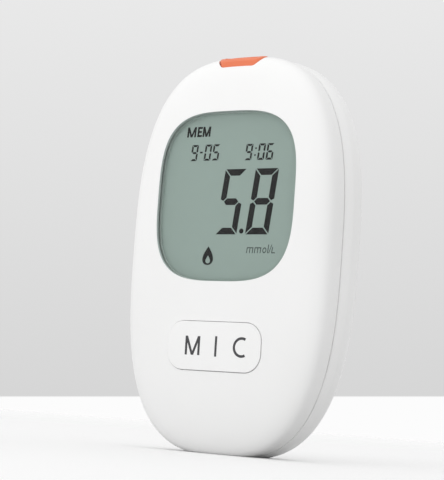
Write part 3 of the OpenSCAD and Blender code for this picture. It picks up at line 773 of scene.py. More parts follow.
# %% Build the rear shell
back_inner, pocket_floor = back_dome(WALL), back_dome(DOOR_T)
shell = Body()
LIP_PLAY, LIP_SEAT = 0.05, 1.1  # round the tongue, and the step it stops before
rim_points, rim_normals = swell_loop(0, rim_start), swell_normal(rim_start)
to_seam = np.tile([0.0, -1.0, 0.0], (len(egg), 1))
rim_edge = rounded_edge(rim_points, rim_normals, to_seam, SEAM_EDGE)
lip_rest = [egg_loop(LIP_IN - LIP_PLAY, SEAM + y) for y in (SEAM_GAP / 2, LIP_SEAT)]
shell.band(*rim_edge, *lip_rest, *[swell_loop(WALL, y) for y in np.linspace(LIP_SEAT, RIM_Y, 5)])
swell_steps = [rim_start + (RIM_Y - rim_start) * part for part in np.linspace(0, 1, 11)]
shell.band(*[swell_loop(0, y) for y in swell_steps])

loop = door_rect(DOOR_GAP + POCKET_EDGE)
door_hole = back.lay_face(loop)
edge = dome_edge(back, door_hole, -outward(loop), POCKET_EDGE)
floor_rim = pocket_floor.lay_face(edge[-1][:, [0, 2]])
shell.band(*edge, pocket_floor.fold(floor_rim))
floor_hole = pocket_floor.lay_face(bay_rect(0))
shell.patch(*even_patch(pocket_floor, floor_rim, [floor_hole], 0.9))
bay_back = back_inner.lay_face(bay_rect(BAY_WALL))
for bay_edge, bottom in ((pocket_floor.fold(floor_hole), BAY_FLOOR + BAY_WALL),
                         (back_inner.fold(bay_back), BAY_FLOOR)):
    shell.band(bay_edge, at_y(bay_edge, bottom))
    shell.lid(at_y(bay_edge, bottom))

holes, inner_holes = [door_hole], [bay_back]
SCREW_HOLE_R, SHAFT_R, COLUMN_R = 2.05, 1.15, 2.9
for spot in SCREWS:
    circle = circle_of(64)
    loop = np.array(spot) + (SCREW_HOLE_R + SCREW_EDGE) * circle
    holes.append(back.lay_face(loop))
    edge = dome_edge(back, holes[-1], -circle, SCREW_EDGE)
    shaft, column = (on_plane(np.array(spot) + r * circle, SCREW_SEAT) for r in (SHAFT_R, COLUMN_R))
    inner_holes.append(back_inner.lay_face(column[:, [0, 2]]))
    shell.band(*edge, at_y(edge[-1], SCREW_SEAT), shaft, at_y(shaft, SEAM + LIP_SEAT),
               at_y(column, SEAM + LIP_SEAT), back_inner.fold(inner_holes[-1]))
shell.patch(*dome_patch(back, back.lay_rim(0.0), holes, SKIN_PITCH))
shell.patch(*dome_patch(back_inner, back_inner.lay_rim(0.0), inner_holes, HIDDEN_PITCH))
rear_shell = shell.build("rear_shell_moulding")

# %% Cut the notches for the door's hooks
cut = Body()
for x in (-HOOK_X, HOOK_X):
    cut.block((x - 2.9, BACK_Y - 4.2, DOOR_FOOT - DOOR_GAP + 0.02),
              (x + 2.9, BACK_Y - 0.9, DOOR_FOOT + 3.1))
combine(rear_shell, cut, "DIFFERENCE")
smooth(rear_shell, back)
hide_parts("rear_shell")
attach(rear_shell, "casing")
print("rear shell:", len(rear_shell.data.polygons), "faces")

# %% [markdown]
# ## Battery door
# The door is a thin panel that follows the back. Two slits at its upper edge
# leave a springy tongue between them, with ribs for the thumb. Its outline is
# drawn with the slits in it, and then the door is made as the shells are.


# %% The door's outline with its slits
def door_outline():
    """The door as an [x, z] loop. half is half a slit's width, long its depth."""
    w, h = DOOR_HALF - DOOR_R, (DOOR_TOP - DOOR_FOOT) / 2 - DOOR_R
    middle = (DOOR_FOOT + DOOR_TOP) / 2
    slit_x, half, corner, long = 4.5, 0.35, 0.3, 7.0
    path = [arc((w, middle - h), DOOR_R, -90, 0), arc((w, middle + h), DOOR_R, 0, 90)]
    for x in (slit_x, -slit_x):
        path.append(arc((x + half + corner, DOOR_TOP - corner), corner, 90, 180, 8))
        path.append(arc((x, DOOR_TOP - long + half), half, 0, -180, 14))
        path.append(arc((x - half - corner, DOOR_TOP - corner), corner, 0, 90, 8))
    path += [arc((-w, middle + h), DOOR_R, 90, 180), arc((-w, middle - h), DOOR_R, 180, 270)]
    return evenly(np.vstack(path), 900)


# %% Build the door
door_inner = back_dome(DOOR_T - 0.1)
outline = door_outline()
out = outward(outline)
door_rim = back.lay_face(outline - DOOR_EDGE * out)
edge = dome_edge(back, door_rim, out, DOOR_EDGE, steps=4)
inner_rim = door_inner.lay_face(edge[-1][:, [0, 2]])
panel = Body()
panel.band(*edge, door_inner.fold(inner_rim))
panel.patch(*even_patch(back, door_rim, [], SKIN_PITCH))
panel.patch(*even_patch(door_inner, inner_rim, [], SKIN_PITCH))
battery_door = panel.build("battery_door_panel")

added = Body()
for x in (-HOOK_X, HOOK_X):  # each hook is a tab that points down, on a short foot
    added.block((x - 2.5, BACK_Y - 3.0, DOOR_FOOT - 2.3), (x + 2.5, BACK_Y - 2.0, DOOR_FOOT + 1.6))
    added.block((x - 2.48, BACK_Y - 2.9, DOOR_FOOT + 0.3),
                (x + 2.48, BACK_Y - 0.7, DOOR_FOOT + 1.58))
added.block((-0.6, SEAM + 8.9, BAY_FOOT + 8), (0.6, BACK_Y - 0.7, BAY_TOP - 8))  # between the cells

# %% Put ribs on the tongue, and join all
GRIP_RIBS, GRIP_PITCH, GRIP_HALF_L, GRIP_R = 3, 1.6, 3.3, 0.35
for k in range(GRIP_RIBS):  # each rib is a rod with rounded ends
    z = DOOR_TOP - 1.8 - GRIP_PITCH * k
    y = back.fold(back.lay_face(np.array([[0.0, z]])))[0, 1]
    turn, rings = circle_of(20), []
    for bend in np.radians([-80, -55, -30, 0, 0, 30, 55, 80]):
        side = 1 if len(rings) > 3 else -1
        x = side * (GRIP_HALF_L - GRIP_R) + GRIP_R * math.sin(bend)
        ring = GRIP_R * math.cos(bend) * turn
        rings.append(np.column_stack([np.full(20, x), y + ring[:, 0], z + ring[:, 1]]))
    added.band(*rings)
    added.lid(rings[0])
    added.lid(rings[-1])
combine(battery_door, added, "UNION")
smooth(battery_door, back)
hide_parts("battery_door")
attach(battery_door, "door")
print("battery door:", len(battery_door.data.polygons), "faces")

# %% [markdown]
# ## Rocker key
# One cap covers two switches, and rocks on pins at its middle. It stands a
# little proud of the face with the face's own curve. Its edge and the opening's
# have the same small radius, so that the gap between them is a fine, even line.

# %% Build the key
KEY_EDGE = 0.12
FLANGE_T = 0.7
key_skin = face_dome(-KEY_PROUD)
outline = key_outline(KEY_GROW)
out = outward(outline)
key_rim = key_skin.lay_face(outline - KEY_EDGE * out)
edge = dome_edge(key_skin, key_rim, out, KEY_EDGE)
flange = rounded_box(KEY_W + 2 * KEY_FLANGE, KEY_H + 2 * KEY_FLANGE, KEY_R, KEY_STEPS) + [0, KEY_Z]
flange_front, flange_back = (on_plane(flange, PIVOT_Y + s * FLANGE_T / 2) for s in (-1, 1))
cap = Body()
cap.band(*edge, at_y(edge[-1], PIVOT_Y - FLANGE_T / 2), flange_front, flange_back)
cap.lid(flange_back)
cap.patch(*even_patch(key_skin, key_rim, [], 0.8))
rocker_key = cap.build("rocker_key_cap")

PRESS_X, PRESS_R, PRESS_PROUD = 8.0, 1.4, 0.12  # a pillar over each dome of the mat
pin_end = EARS + EAR_T - 0.1
added = Body()
for x in (-PRESS_X, PRESS_X):
    rod(added, (x, KEY_Z), PRESS_R, PIVOT_Y, PIVOT_Y + FLANGE_T / 2 + PRESS_PROUD)
rod(added, (0, PIVOT_Y), PIN_R, KEY_Z - pin_end, KEY_Z + pin_end, axis=2)
combine(rocker_key, added, "UNION")
smooth(rocker_key, key_skin)
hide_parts("rocker_key")
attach(rocker_key, "key")
skin_y = face.fold(face.lay_face(np.array([[0.0, KEY_Z]])))[0, 1]
print(f"key stands {skin_y - key_skin.fold(key_rim)[:, 1].min():.2f} mm proud")

# %% [markdown]
# ## Strip port
# The coloured insert at the crown follows the shell and takes the test strip.
# Its mouth flares, which guides the strip in, and narrows to a slot. A flange
# inside the casing keeps it from coming out.

# %% Build the port
PORT_EDGE, MOUTH_EDGE = 0.4, 0.3
SLOT_Y = SEAM - 4.5
SLOT_STEPS = (18, 4, 6)
port_skin = face_dome(-PORT_PROUD)
outline = port_outline(0)
out = outward(outline)
port_rim = port_skin.lay_crown(outline - PORT_EDGE * out)
edge = dome_edge(port_skin, port_rim, out, PORT_EDGE, axis=2)
mouth = rounded_box(9.4 + 2 * MOUTH_EDGE, 2.0 + 2 * MOUTH_EDGE, 0.5 + MOUTH_EDGE, SLOT_STEPS)
mouth += [0, SLOT_Y + 0.08]
mouth_flat = port_skin.lay_crown(mouth)
mouth_edge = dome_edge(port_skin, mouth_flat, -outward(mouth), MOUTH_EDGE, axis=2)
slot = rounded_box(7.6, 1.0, 0.15, SLOT_STEPS) + [0, SLOT_Y]


def at_z(loop, z):
    """Points in space for an [x, y] loop."""
    return np.column_stack([loop[:, :2], np.full(len(loop), z)])


def flat_patch(rim, hole):
    """Triangles of a flat rim round a hole, with no points between the loops."""
    return triangulate(rim, [hole], np.zeros((0, 2)))


insert = Body()
foot_loop = at_z(edge[-1], PORT_FLANGE_Z)
insert.band(*edge, foot_loop)
insert.band(*mouth_edge, at_z(slot, CROWN - 3.2), at_z(slot, PORT_FLANGE_Z))
flat_points, faces = flat_patch(foot_loop[:, :2], slot)
insert.patch(at_z(flat_points, PORT_FLANGE_Z), faces)
insert.patch(*even_patch(port_skin, port_rim, [mouth_flat], 0.6))
strip_port = insert.build("strip_port_insert")

collar = Body()
collar_low, collar_high = PORT_FLANGE_Z + 0.01, PORT_FLANGE_Z + 1.2
collar_rim = rounded_box(PORT_W + 1.8, PORT_D - PORT_GAP, PORT_R, PORT_STEPS) + [0, PORT_Y + 0.8]
collar_hole = rounded_box(8.2, 1.6, 0.3, SLOT_STEPS) + [0, SLOT_Y]
for loop in (collar_rim, collar_hole):
    collar.band(at_z(loop, collar_low), at_z(loop, collar_high))
flat_points, faces = flat_patch(collar_rim, collar_hole)
for z in (collar_low, collar_high):
    collar.patch(at_z(flat_points, z), faces)
combine(strip_port, collar, "UNION")
smooth(strip_port, port_skin)
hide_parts("strip_port")
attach(strip_port, "casing")

# %% [markdown]
# ## Marks
# A segmented display shows its marks as dark areas with crisp edges, so each
# mark is a thin plate with the true outline of its segments. The key's legend
# is pad printed, and is the same kind of plate, laid on the key's curve.


# %% Thin plates on a surface
def stamp(body, loop, lay, holes=()):
    """A plate with the outline `loop`. lay(points, height) gives places in space."""
    loop = loop if signed_area(loop) > 0 else loop[::-1]
    flat_points, faces = triangulate(loop, list(holes), np.zeros((0, 2)))
    for height in (1, 0):
        body.patch(lay(flat_points, height), faces)
    for outline in (loop, *holes):
        body.band(lay(outline, 1), lay(outline, 0))


def signed_area(loop):
    following = np.roll(loop, -1, axis=0)
    return 0.5 * (loop[:, 0] * following[:, 1] - following[:, 0] * loop[:, 1]).sum()


def slanted(points, corner, slant):
    """Moves a glyph to its lower left corner and leans it."""
    points = np.array(points, dtype=float)
    return np.column_stack([points[:, 0] + slant * points[:, 1], points[:, 1]]) + corner


# %% Seven segments
def segments(width, height, stroke, gap):
    """The seven bevelled segments of a digit, by their usual letters."""
    w, h, t, m = width, height, stroke, height / 2
    top = [(gap, h), (gap + t, h - t), (w - gap - t, h - t), (w - gap, h)]
    upper = [(0, h - gap), (0, m + t / 4 + gap), (t / 2, m + gap), (t, m + t / 2 + gap),
             (t, h - gap - t)]
    bar = [(t / 2 + gap, m), (t + gap, m - t / 2), (w - t - gap, m - t / 2),
           (w - t / 2 - gap, m), (w - t - gap, m + t / 2), (t + gap, m + t / 2)]
    across = lambda loop: [(w - x, z) for x, z in loop]
    down = lambda loop: [(x, h - z) for x, z in loop]
    return {"a": top, "b": across(upper), "c": down(across(upper)), "d": down(top),
            "e": down(upper), "f": upper, "g": bar}


LIT = {"0": "abcdef", "5": "acdfg", "6": "acdefg", "8": "abcdefg", "9": "abcdfg"}


def digit(body, text, corner, width, height, stroke, gap, slant, lay):
    shapes = segments(width, height, stroke, gap)
    for letter in LIT[text]:
        stamp(body, slanted(shapes[letter], corner, slant), lay)


# %% Letters and signs
def letter_m(w, h, t):
    """An M of strokes t wide, with slightly wider slants."""
    wide = 1.08 * t
    run = (w / 2 - wide / 2) / h
    low, notch = (w / 2 - wide / 2 - t) / run, wide / 2 / run
    return [(0, 0), (t, 0), (t, low), ((w - wide) / 2, 0), ((w + wide) / 2, 0), (w - t, low),
            (w - t, 0), (w, 0), (w, h), (w - wide, h), (w / 2, notch), (wide, h), (0, h)]


def letter_e(w, h, t):
    """An E whose middle bar is a tenth shorter."""
    low, high = (h - t) / 2, (h + t) / 2
    return [(0, 0), (w, 0), (w, t), (t, t), (t, low), (0.9 * w, low), (0.9 * w, high), (t, high),
            (t, h - t), (w, h - t), (w, h), (0, h)]


def bar_loop(x0, z0, x1, z1):
    """An upright rectangle between two corners."""
    return np.array([(x0, z0), (x1, z0), (x1, z1), (x0, z1)])


def drop_loop(middle, half_w, half_h):
    """A drop with its tip up. The power makes the tip slim."""
    turn = np.linspace(0, 2 * np.pi, 48, endpoint=False)
    across = half_w * np.sin(turn) * np.sin(turn / 2) ** 1.2
    return np.column_stack([across, half_h * np.cos(turn)])[::-1] + middle


# %% Stamp the display's marks
film_y = box_mm("lcd_polariser")[0][1]
MARK_T, MARK_SUNK = 0.02, 0.004  # a mark's plate, and how deep it sits in the film


def on_film(points, height):
    return on_plane(points, film_y - MARK_T * height + MARK_SUNK)


VALUE_Z, VALUE_H, VALUE_STROKE, VALUE_GAP, VALUE_SLANT = 52.05, 15.75, 1.6, 0.2, 0.112
SMALL_W, SMALL_H, SMALL_STROKE, SMALL_GAP, SMALL_SLANT = 1.95, 3.95, 0.5, 0.1, 0.1
DATE_Z, TIME_Z, COLON_HALF = 70.05, 69.85, 0.2
marks = Body()
for text, x, width in (("5", -3.1, 6.15), ("8", 5.5, 6.5)):
    digit(marks, text, (x, VALUE_Z), width, VALUE_H, VALUE_STROKE, VALUE_GAP, VALUE_SLANT, on_film)
stamp(marks, 0.62 * circle_of(16) + (4.4, 52.85), on_film)  # the point
for text, x, z in (("9", -12.05, DATE_Z), ("0", -8.1, DATE_Z), ("5", -5.75, DATE_Z),
                   ("9", 3.75, TIME_Z), ("0", 7.3, TIME_Z), ("6", 9.7, TIME_Z)):
    digit(marks, text, (x, z), SMALL_W, SMALL_H, SMALL_STROKE, SMALL_GAP, SMALL_SLANT, on_film)
stamp(marks, bar_loop(-9.3, 71.9, -8.5, 72.3), on_film)  # the dash
for x, z in ((6.85, 72.7), (6.7, 71.05)):  # the colon
    stamp(marks, bar_loop(x - COLON_HALF, z - COLON_HALF, x + COLON_HALF, z + COLON_HALF), on_film)

# %% Stamp the word and the drop, and make them one piece
WORD_Z, WORD_H, WORD_STROKE, WORD_SLANT = 75.95, 2.5, 0.5, 0.06
for letter, width, x in ((letter_m, 2.6, -13.5), (letter_e, 1.35, -10.5), (letter_m, 2.3, -8.95)):
    stamp(marks, slanted(letter(width, WORD_H, WORD_STROKE), (x, WORD_Z), WORD_SLANT), on_film)
drop_hole = drop_loop((-4.6, 46.0), 0.9, 0.95)[::-1]
stamp(marks, drop_loop((-4.65, 46.92), 2.08, 2.28), on_film, [drop_hole])
display_marks = smooth(marks.build("display_marks"))
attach(display_marks, "casing")

# %% [markdown]
# ## Painted light round the display
# A pale ring of painted light lies on the film round the display, just under the
# ledge that holds the window. Little light gets there, and without this painted
# light the edge of the display would look like a black line. It is a thin ring on the film.

# %% Stamp the ring of painted light
BORDER_IN, BORDER_OUT = 0.12, 0.5
border = Body()
stamp(border, window_outline(BORDER_OUT), on_film, [window_outline(-BORDER_IN)[::-1]])
border_painted_light = smooth(border.build("window_border_painted_light"))
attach(border_painted_light, "casing")
print("painted light border:", BORDER_IN + BORDER_OUT, "mm wide")

# %% Stamp the unit, fainter than the value
UNIT_CORNER, UNIT_SLANT = (6.2, 47.6), 0.1
UNIT_STROKE, UNIT_TALL = 0.25, 2.05
unit = Body()


def stamp_unit(loop, holes=()):
    loop, *holes = (slanted(part, UNIT_CORNER, UNIT_SLANT) for part in (loop, *holes))
    stamp(unit, loop, on_film, holes)


for x in (0.0, 2.2):  # each m is a bar over three legs
    stamp_unit(bar_loop(x, 1.15, x + 1.85, 1.15 + UNIT_STROKE))
    for step in (0.0, 0.8, 1.6):
        stamp_unit(bar_loop(x + step, 0, x + step + 0.24, 1.16))
ring_middle = (5.0, 0.7)
ring = circle_of(20) * (0.55, 0.7)
stamp_unit(ring + ring_middle, [ring * 0.6 + ring_middle])
stamp_unit(bar_loop(5.85, 0, 5.85 + UNIT_STROKE, UNIT_TALL))
stamp_unit([(6.2, 0), (6.4, 0), (6.95, UNIT_TALL), (6.75, UNIT_TALL)])
stamp_unit([(7.0, 0), (8.0, 0), (8.0, UNIT_STROKE), (7.0 + UNIT_STROKE, UNIT_STROKE),
            (7.0 + UNIT_STROKE, 1.5), (7.0, 1.5)])
unit_marks = smooth(unit.build("unit_marks"))
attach(unit_marks, "casing")

# %% Print the key's legend
LEGEND_STROKE = 0.62
INK_T, INK_SUNK = 0.03, 0.01


def on_key(points, height):
    placed = key_skin.fold(key_skin.lay_face(points))
    return placed + key_skin.normal(placed) * (INK_T * height - INK_SUNK)


def finer(loop, step=0.6):
    """The same loop with points at most `step` apart, so that it follows a curve."""
    loop, path = np.array(loop, dtype=float), []
    for a, b in zip(loop, np.roll(loop, -1, axis=0)):
        count = max(1, math.ceil(np.linalg.norm(b - a) / step))
        path.append(np.linspace(a, b, count, endpoint=False))
    return np.vstack(path)


legend = Body()
stamp(legend, finer(slanted(letter_m(4.25, 4.5, LEGEND_STROKE), (-8.05, 22.95), 0)), on_key)
stamp(legend, finer(bar_loop(0.45, 22.8, 1.05, 27.6)), on_key)
ends = [arc((8.0, 25.23), 2.1 + s * LEGEND_STROKE / 2, 62, 298, 40)[::s] for s in (1, -1)]
stamp(legend, np.vstack(ends), on_key)
key_legend = smooth(legend.build("key_legend"))
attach(key_legend, "key")

# %% [markdown]
# ## Battery cells
# A dry cell is a steel can in a printed sleeve. The sleeve shrinks over the
# can's shoulders and leaves the ends bare, so each cell is turned as two
# profiles: the sleeve, and the nickel-plated steel ends that it grips.


# %% Turn a profile round an upright axis
CELL_R, CELL_L, NUB_R, NUB_L = 5.25, 44.5, 1.9, 1.0
TOP = CELL_L - NUB_L  # the shoulder at the nub's foot


def turned(name, profile, foot, upside_down, hollow, count=64):
    """A surface of revolution on `foot`. profile holds [radius, height], and is a closed
    loop for a hollow piece, or else runs from axis to axis."""
    body, rings = Body(), []
    for radius, height in profile:
        z = foot[2] + (CELL_L - height if upside_down else height)
        rings.append(at_z(foot[:2] + radius * circle_of(count), z))
    if hollow:
        body.band(*rings, rings[0])
    else:
        body.band(*rings)
        body.lid(rings[0])
        body.lid(rings[-1])
    return smooth(body.build(name), angle=50)


def quarter(across, up, radius, first, last):
    """A rounded corner of a profile, with its middle at [across, up]."""
    return arc((across, up), radius, first, last, 6)


# %% Make both cells
can = np.vstack([
    [(0.01, 0.15), (3.4, 0.15), (3.6, 0.0)], quarter(CELL_R - 0.9, 0.6, 0.6, -90, 0) + [0.02, 0],
    quarter(CELL_R - 0.9, TOP - 0.6, 0.6, 0, 90) + [0.02, 0],
    [(2.6, TOP), (2.4, TOP - 0.25), (NUB_R, TOP - 0.25)],
    quarter(NUB_R - 0.35, CELL_L - 0.35, 0.35, 0, 90), [(0.01, CELL_L)]])
sleeve = np.vstack([
    [(3.9, 0.06)], quarter(CELL_R - 0.8, 0.86, 0.8, -90, 0),
    quarter(CELL_R - 0.8, TOP - 0.86, 0.8, 0, 90), [(3.9, TOP - 0.06)],
    quarter(CELL_R - 0.95, TOP - 0.86, 0.7, 90, 0), quarter(CELL_R - 0.95, 0.86, 0.7, 0, -90),
    [(3.9, 0.16)]])
cells = []
for side, upside_down in (("left", False), ("right", True)):
    low, high = box_mm("battery_cell_" + side)
    foot = np.array([(low[0] + high[0]) / 2, (low[1] + high[1]) / 2, low[2]])
    bare_ends = turned(f"cell_{side}_can", can, foot, upside_down, hollow=False)
    wrap = turned(f"cell_{side}_sleeve", sleeve, foot, upside_down, hollow=True)
    for piece in (bare_ends, wrap):
        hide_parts("battery_cell_" + side)
        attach(piece, "casing")
        cells.append(piece)

# %% [markdown]
# ## Camera
# The camera stands a little above the floor at arm's length, to the right of
# the meter, and looks slightly upwards. The lens is long, so the shape is drawn
# without strong perspective.

# %% Place the camera
EYE = Vector((210.581, -319.461, 10.386)) * MM
RIGHT = Vector((0.82884, 0.55446, 0.07478))  # the camera's own three axes
UP = Vector((-0.00234, -0.13022, 0.99148))
BACK = Vector((0.55948, -0.82196, -0.10664))
camera = bpy.data.objects.new("camera", bpy.data.cameras.new("camera"))
camera.data.lens, camera.data.sensor_width = 118.77, 36
camera.data.clip_start, camera.data.clip_end = 0.01, 10
axes = Matrix((RIGHT, UP, BACK)).transposed()
camera.matrix_world = Matrix.Translation(EYE) @ axes.to_4x4()
bpy.context.scene.collection.objects.link(camera)
bpy.context.scene.camera = camera
print("camera height above the floor:", round(EYE.z / MM, 1), "mm")

# %% [markdown]
# ## Nodes and colours
# Materials are small node trees. One helper makes any node, sets its fields and
# links its inputs, and another turns an sRGB hex colour into the linear values
# that the shaders work with. Textures take their places in the piece's own
# coordinates, so that a pattern moves with its piece.


# %% Helpers for node trees
def add(tree, kind, inputs=None, **settings):
    """A node with its settings. An input is linked if it is a socket, else set."""
    made = tree.nodes.new(kind)
    for name, value in settings.items():
        setattr(made, name, value)
    for name, value in (inputs or {}).items():
        if isinstance(value, bpy.types.NodeSocket):
            tree.links.new(value, made.inputs[name])
        else:
            made.inputs[name].default_value = value
    return made


def colour(code):
    """An sRGB hex value as the linear colour that the shaders work with."""
    parts = [int(code[k : k + 2], 16) / 255 for k in (0, 2, 4)]
    return (*[c / 12.92 if c <= 0.04045 else ((c + 0.055) / 1.055) ** 2.4 for c in parts], 1.0)


def new_material(name):
    """An empty material, its tree, and the place on the piece that textures use."""
    made = bpy.data.materials.new(name)
    made.use_nodes = True
    tree = made.node_tree
    tree.nodes.clear()
    place = add(tree, "ShaderNodeTexCoord").outputs["Object"]
    return made, tree, place


def to_output(tree, shader):
    add(tree, "ShaderNodeOutputMaterial", {"Surface": shader})


def per_mm(size):
    """The scale at which a texture's features are about `size` millimetres wide."""
    return 1 / (size * MM)


# %% [markdown]
# ## White ABS, gloss moulded
# The casing is injection-moulded ABS from a polished tool. Its white pigment
# hides all grain, so what the eye gets is a soft, slightly uneven gloss: the
# skin has a faint orange peel, and flow lines tint the white very little.


# %% A moulded plastic
PLASTIC_SPREAD = 0.05  # how far the roughness strays to either side


def moulded(name, base, shade, roughness, peel_mm, peel_depth, flow_mm=25.0, ior=1.53):
    """base and shade are the two ends of the tint, and peel is the skin's relief."""
    made, tree, place = new_material(name)
    flow = add(tree, "ShaderNodeTexNoise", {
        "Vector": place, "Scale": per_mm(flow_mm), "Detail": 3.0})
    tint = add(tree, "ShaderNodeMix", {
        "Factor": flow.outputs["Fac"], "A": colour(base), "B": colour(shade)}, data_type="RGBA")
    wear = add(tree, "ShaderNodeTexNoise", {
        "Vector": place, "Scale": per_mm(3.0), "Detail": 4.0})
    rough = add(tree, "ShaderNodeMapRange", {
        "Value": wear.outputs["Fac"], "To Min": roughness - PLASTIC_SPREAD,
        "To Max": roughness + PLASTIC_SPREAD})
    peel = add(tree, "ShaderNodeTexNoise", {
        "Vector": place, "Scale": per_mm(peel_mm), "Detail": 2.0})
    bump = add(tree, "ShaderNodeBump", {
        "Height": peel.outputs["Fac"], "Strength": 0.5, "Distance": peel_depth * MM})
    shader = add(tree, "ShaderNodeBsdfPrincipled", {
        "Base Color": tint.outputs["Result"], "Roughness": rough.outputs["Result"], "IOR": ior,
        "Normal": bump.outputs["Normal"]})
    to_output(tree, shader.outputs["BSDF"])
    return made


white_abs = moulded("ABS_gloss_moulded_white", "F6F6F6", "F1F1F0", 0.34, 0.8, 0.006)
key_abs = moulded("ABS_satin_moulded_white", "F7F7F7", "F3F3F2", 0.42, 0.6, 0.005)
port_abs = moulded("ABS_polished_orange", "EB8058", "E57950", 0.3, 0.7, 0.006, flow_mm=6.0)
print("first plastics:", white_abs.name, key_abs.name, port_abs.name)

# %% [markdown]
# ## Clear acrylic
# The window is cast acrylic, polished and coated on both sides against
# reflections. Acrylic has index 1.49 and mirrors 4 % at each side; under a
# quarter-wave coat of index 1.38 that drops to 1.5 %, which is the gloss of a
# plain glass of index 1.28. So the marks stay dark below it. Light that goes to
# the display passes almost unchanged, so shadow rays go straight through.

# %% Cast acrylic
COATED_IOR = 1.28
acrylic, tree, place = new_material("acrylic_cast_clear")
haze = add(tree, "ShaderNodeTexNoise", {"Vector": place, "Scale": per_mm(4.0), "Detail": 2.0})
rough = add(tree, "ShaderNodeMapRange", {
    "Value": haze.outputs["Fac"], "To Min": 0.015, "To Max": 0.035})
clear = add(tree, "ShaderNodeBsdfPrincipled", {
    "Base Color": colour("FCFEFD"), "Roughness": rough.outputs["Result"], "IOR": COATED_IOR,
    "Transmission Weight": 1.0})
path = add(tree, "ShaderNodeLightPath")
through = add(tree, "ShaderNodeBsdfTransparent", {"Color": (0.96, 0.97, 0.965, 1.0)})
mix = add(tree, "ShaderNodeMixShader", {
    0: path.outputs["Is Shadow Ray"], 1: clear.outputs["BSDF"], 2: through.outputs["BSDF"]})
to_output(tree, mix.outputs["Shader"])

# %% [markdown]
# ## Display film and marks
# The upper polariser is drawn as the eye sees the whole stack below it: a matt,
# grey-green ground, because the reflector under the glass scatters light
# through two polarisers. Its real grain is a tenth of a millimetre and is drawn
# a little coarser here, so that it shows.

# %% Polariser film, marks, print, painted shade and painted light
film, tree, place = new_material("polariser_film_reflective")
grain = add(tree, "ShaderNodeTexNoise", {"Vector": place, "Scale": per_mm(0.25), "Detail": 2.0})
tint = add(tree, "ShaderNodeMix", {
    "Factor": grain.outputs["Fac"], "A": colour("98A8A2"), "B": colour("A6B5AF")}, data_type="RGBA")
shader = add(tree, "ShaderNodeBsdfPrincipled", {
    "Base Color": tint.outputs["Result"], "Roughness": 0.5, "IOR": 1.49, "Metallic": 0.0,
    "Specular IOR Level": 0.15})
to_output(tree, shader.outputs["BSDF"])


def mark_material(name, dark, light, grain_mm, roughness):
    """Ink, a dark segment, or a painted shade or light colour: nearly flat, with a fine unevenness.
    """
    made, tree, place = new_material(name)
    noise = add(tree, "ShaderNodeTexNoise", {
        "Vector": place, "Scale": per_mm(grain_mm), "Detail": 2.0})
    tint = add(tree, "ShaderNodeMix", {
        "Factor": noise.outputs["Fac"], "A": colour(dark), "B": colour(light)}, data_type="RGBA")
    shader = add(tree, "ShaderNodeBsdfPrincipled", {
        "Base Color": tint.outputs["Result"], "Roughness": roughness, "Specular IOR Level": 0.05})
    to_output(tree, shader.outputs["BSDF"])
    return made


segment_dark = mark_material("liquid_crystal_dark", "121112", "191718", 0.3, 0.5)
segment_faint = mark_material("liquid_crystal_faint", "47504D", "535C59", 0.3, 0.5)
# painted shade: the wall of the display's recess is grey-green instead of white moulding, so it
# reads as the shaded band at the display's edge
recess_wall_painted_shade = mark_material("recess_wall_painted_shade_grey_green", "BCC8C4", "C4D0CC", 0.5, 0.6)
# painted light: a pale ring on the film under the window's ledge, where little light gets
border_painted_light_tint = mark_material("painted_light_pale_green", "CCD9D4", "D3DFDA", 0.3, 0.6)
pad_print = mark_material("pad_print_grey", "4C4C4E", "58585A", 0.2, 0.55)

# %% [markdown]
# ## Inside the casing
# The pieces behind the shells are seen only when the door is off or the model
# is taken apart, but each is its own material: glass-filled black polymer,
# rubber with conducting layers, solder mask over glass cloth, plated metal.


# %% Plated and drawn metals
EVEN = (1.0, 1.0, 1.0)
METAL_SPREAD = 0.08


def metal(name, base, roughness, streak_mm, stretch, depth):
    """stretch squeezes the streaks along each axis: 1 is even, 0.1 is ten times longer."""
    made, tree, place = new_material(name)
    squeeze = add(tree, "ShaderNodeMapping", {"Vector": place, "Scale": stretch})
    streak = add(tree, "ShaderNodeTexNoise", {
        "Vector": squeeze.outputs["Vector"], "Scale": per_mm(streak_mm), "Detail": 3.0})
    rough = add(tree, "ShaderNodeMapRange", {
        "Value": streak.outputs["Fac"], "To Min": roughness - METAL_SPREAD,
        "To Max": roughness + METAL_SPREAD})
    bump = add(tree, "ShaderNodeBump", {
        "Height": streak.outputs["Fac"], "Strength": 0.4, "Distance": depth * MM})
    shader = add(tree, "ShaderNodeBsdfPrincipled", {
        "Base Color": colour(base), "Metallic": 1.0, "Roughness": rough.outputs["Result"],
        "Normal": bump.outputs["Normal"]})
    to_output(tree, shader.outputs["BSDF"])
    return made


nickel_steel = metal("steel_nickel_plated", "C9C7C1", 0.26, 0.25, (1.0, 1.0, 0.15), 0.01)
spring_steel = metal("spring_wire_nickel_plated", "C4C2BC", 0.3, 0.15, EVEN, 0.006)
zinc_steel = metal("steel_zinc_plated", "BFC3C6", 0.38, 0.2, EVEN, 0.012)
gold_plate = metal("bronze_gold_plated", "E2BE76", 0.22, 0.2, (1.0, 1.0, 0.2), 0.005)

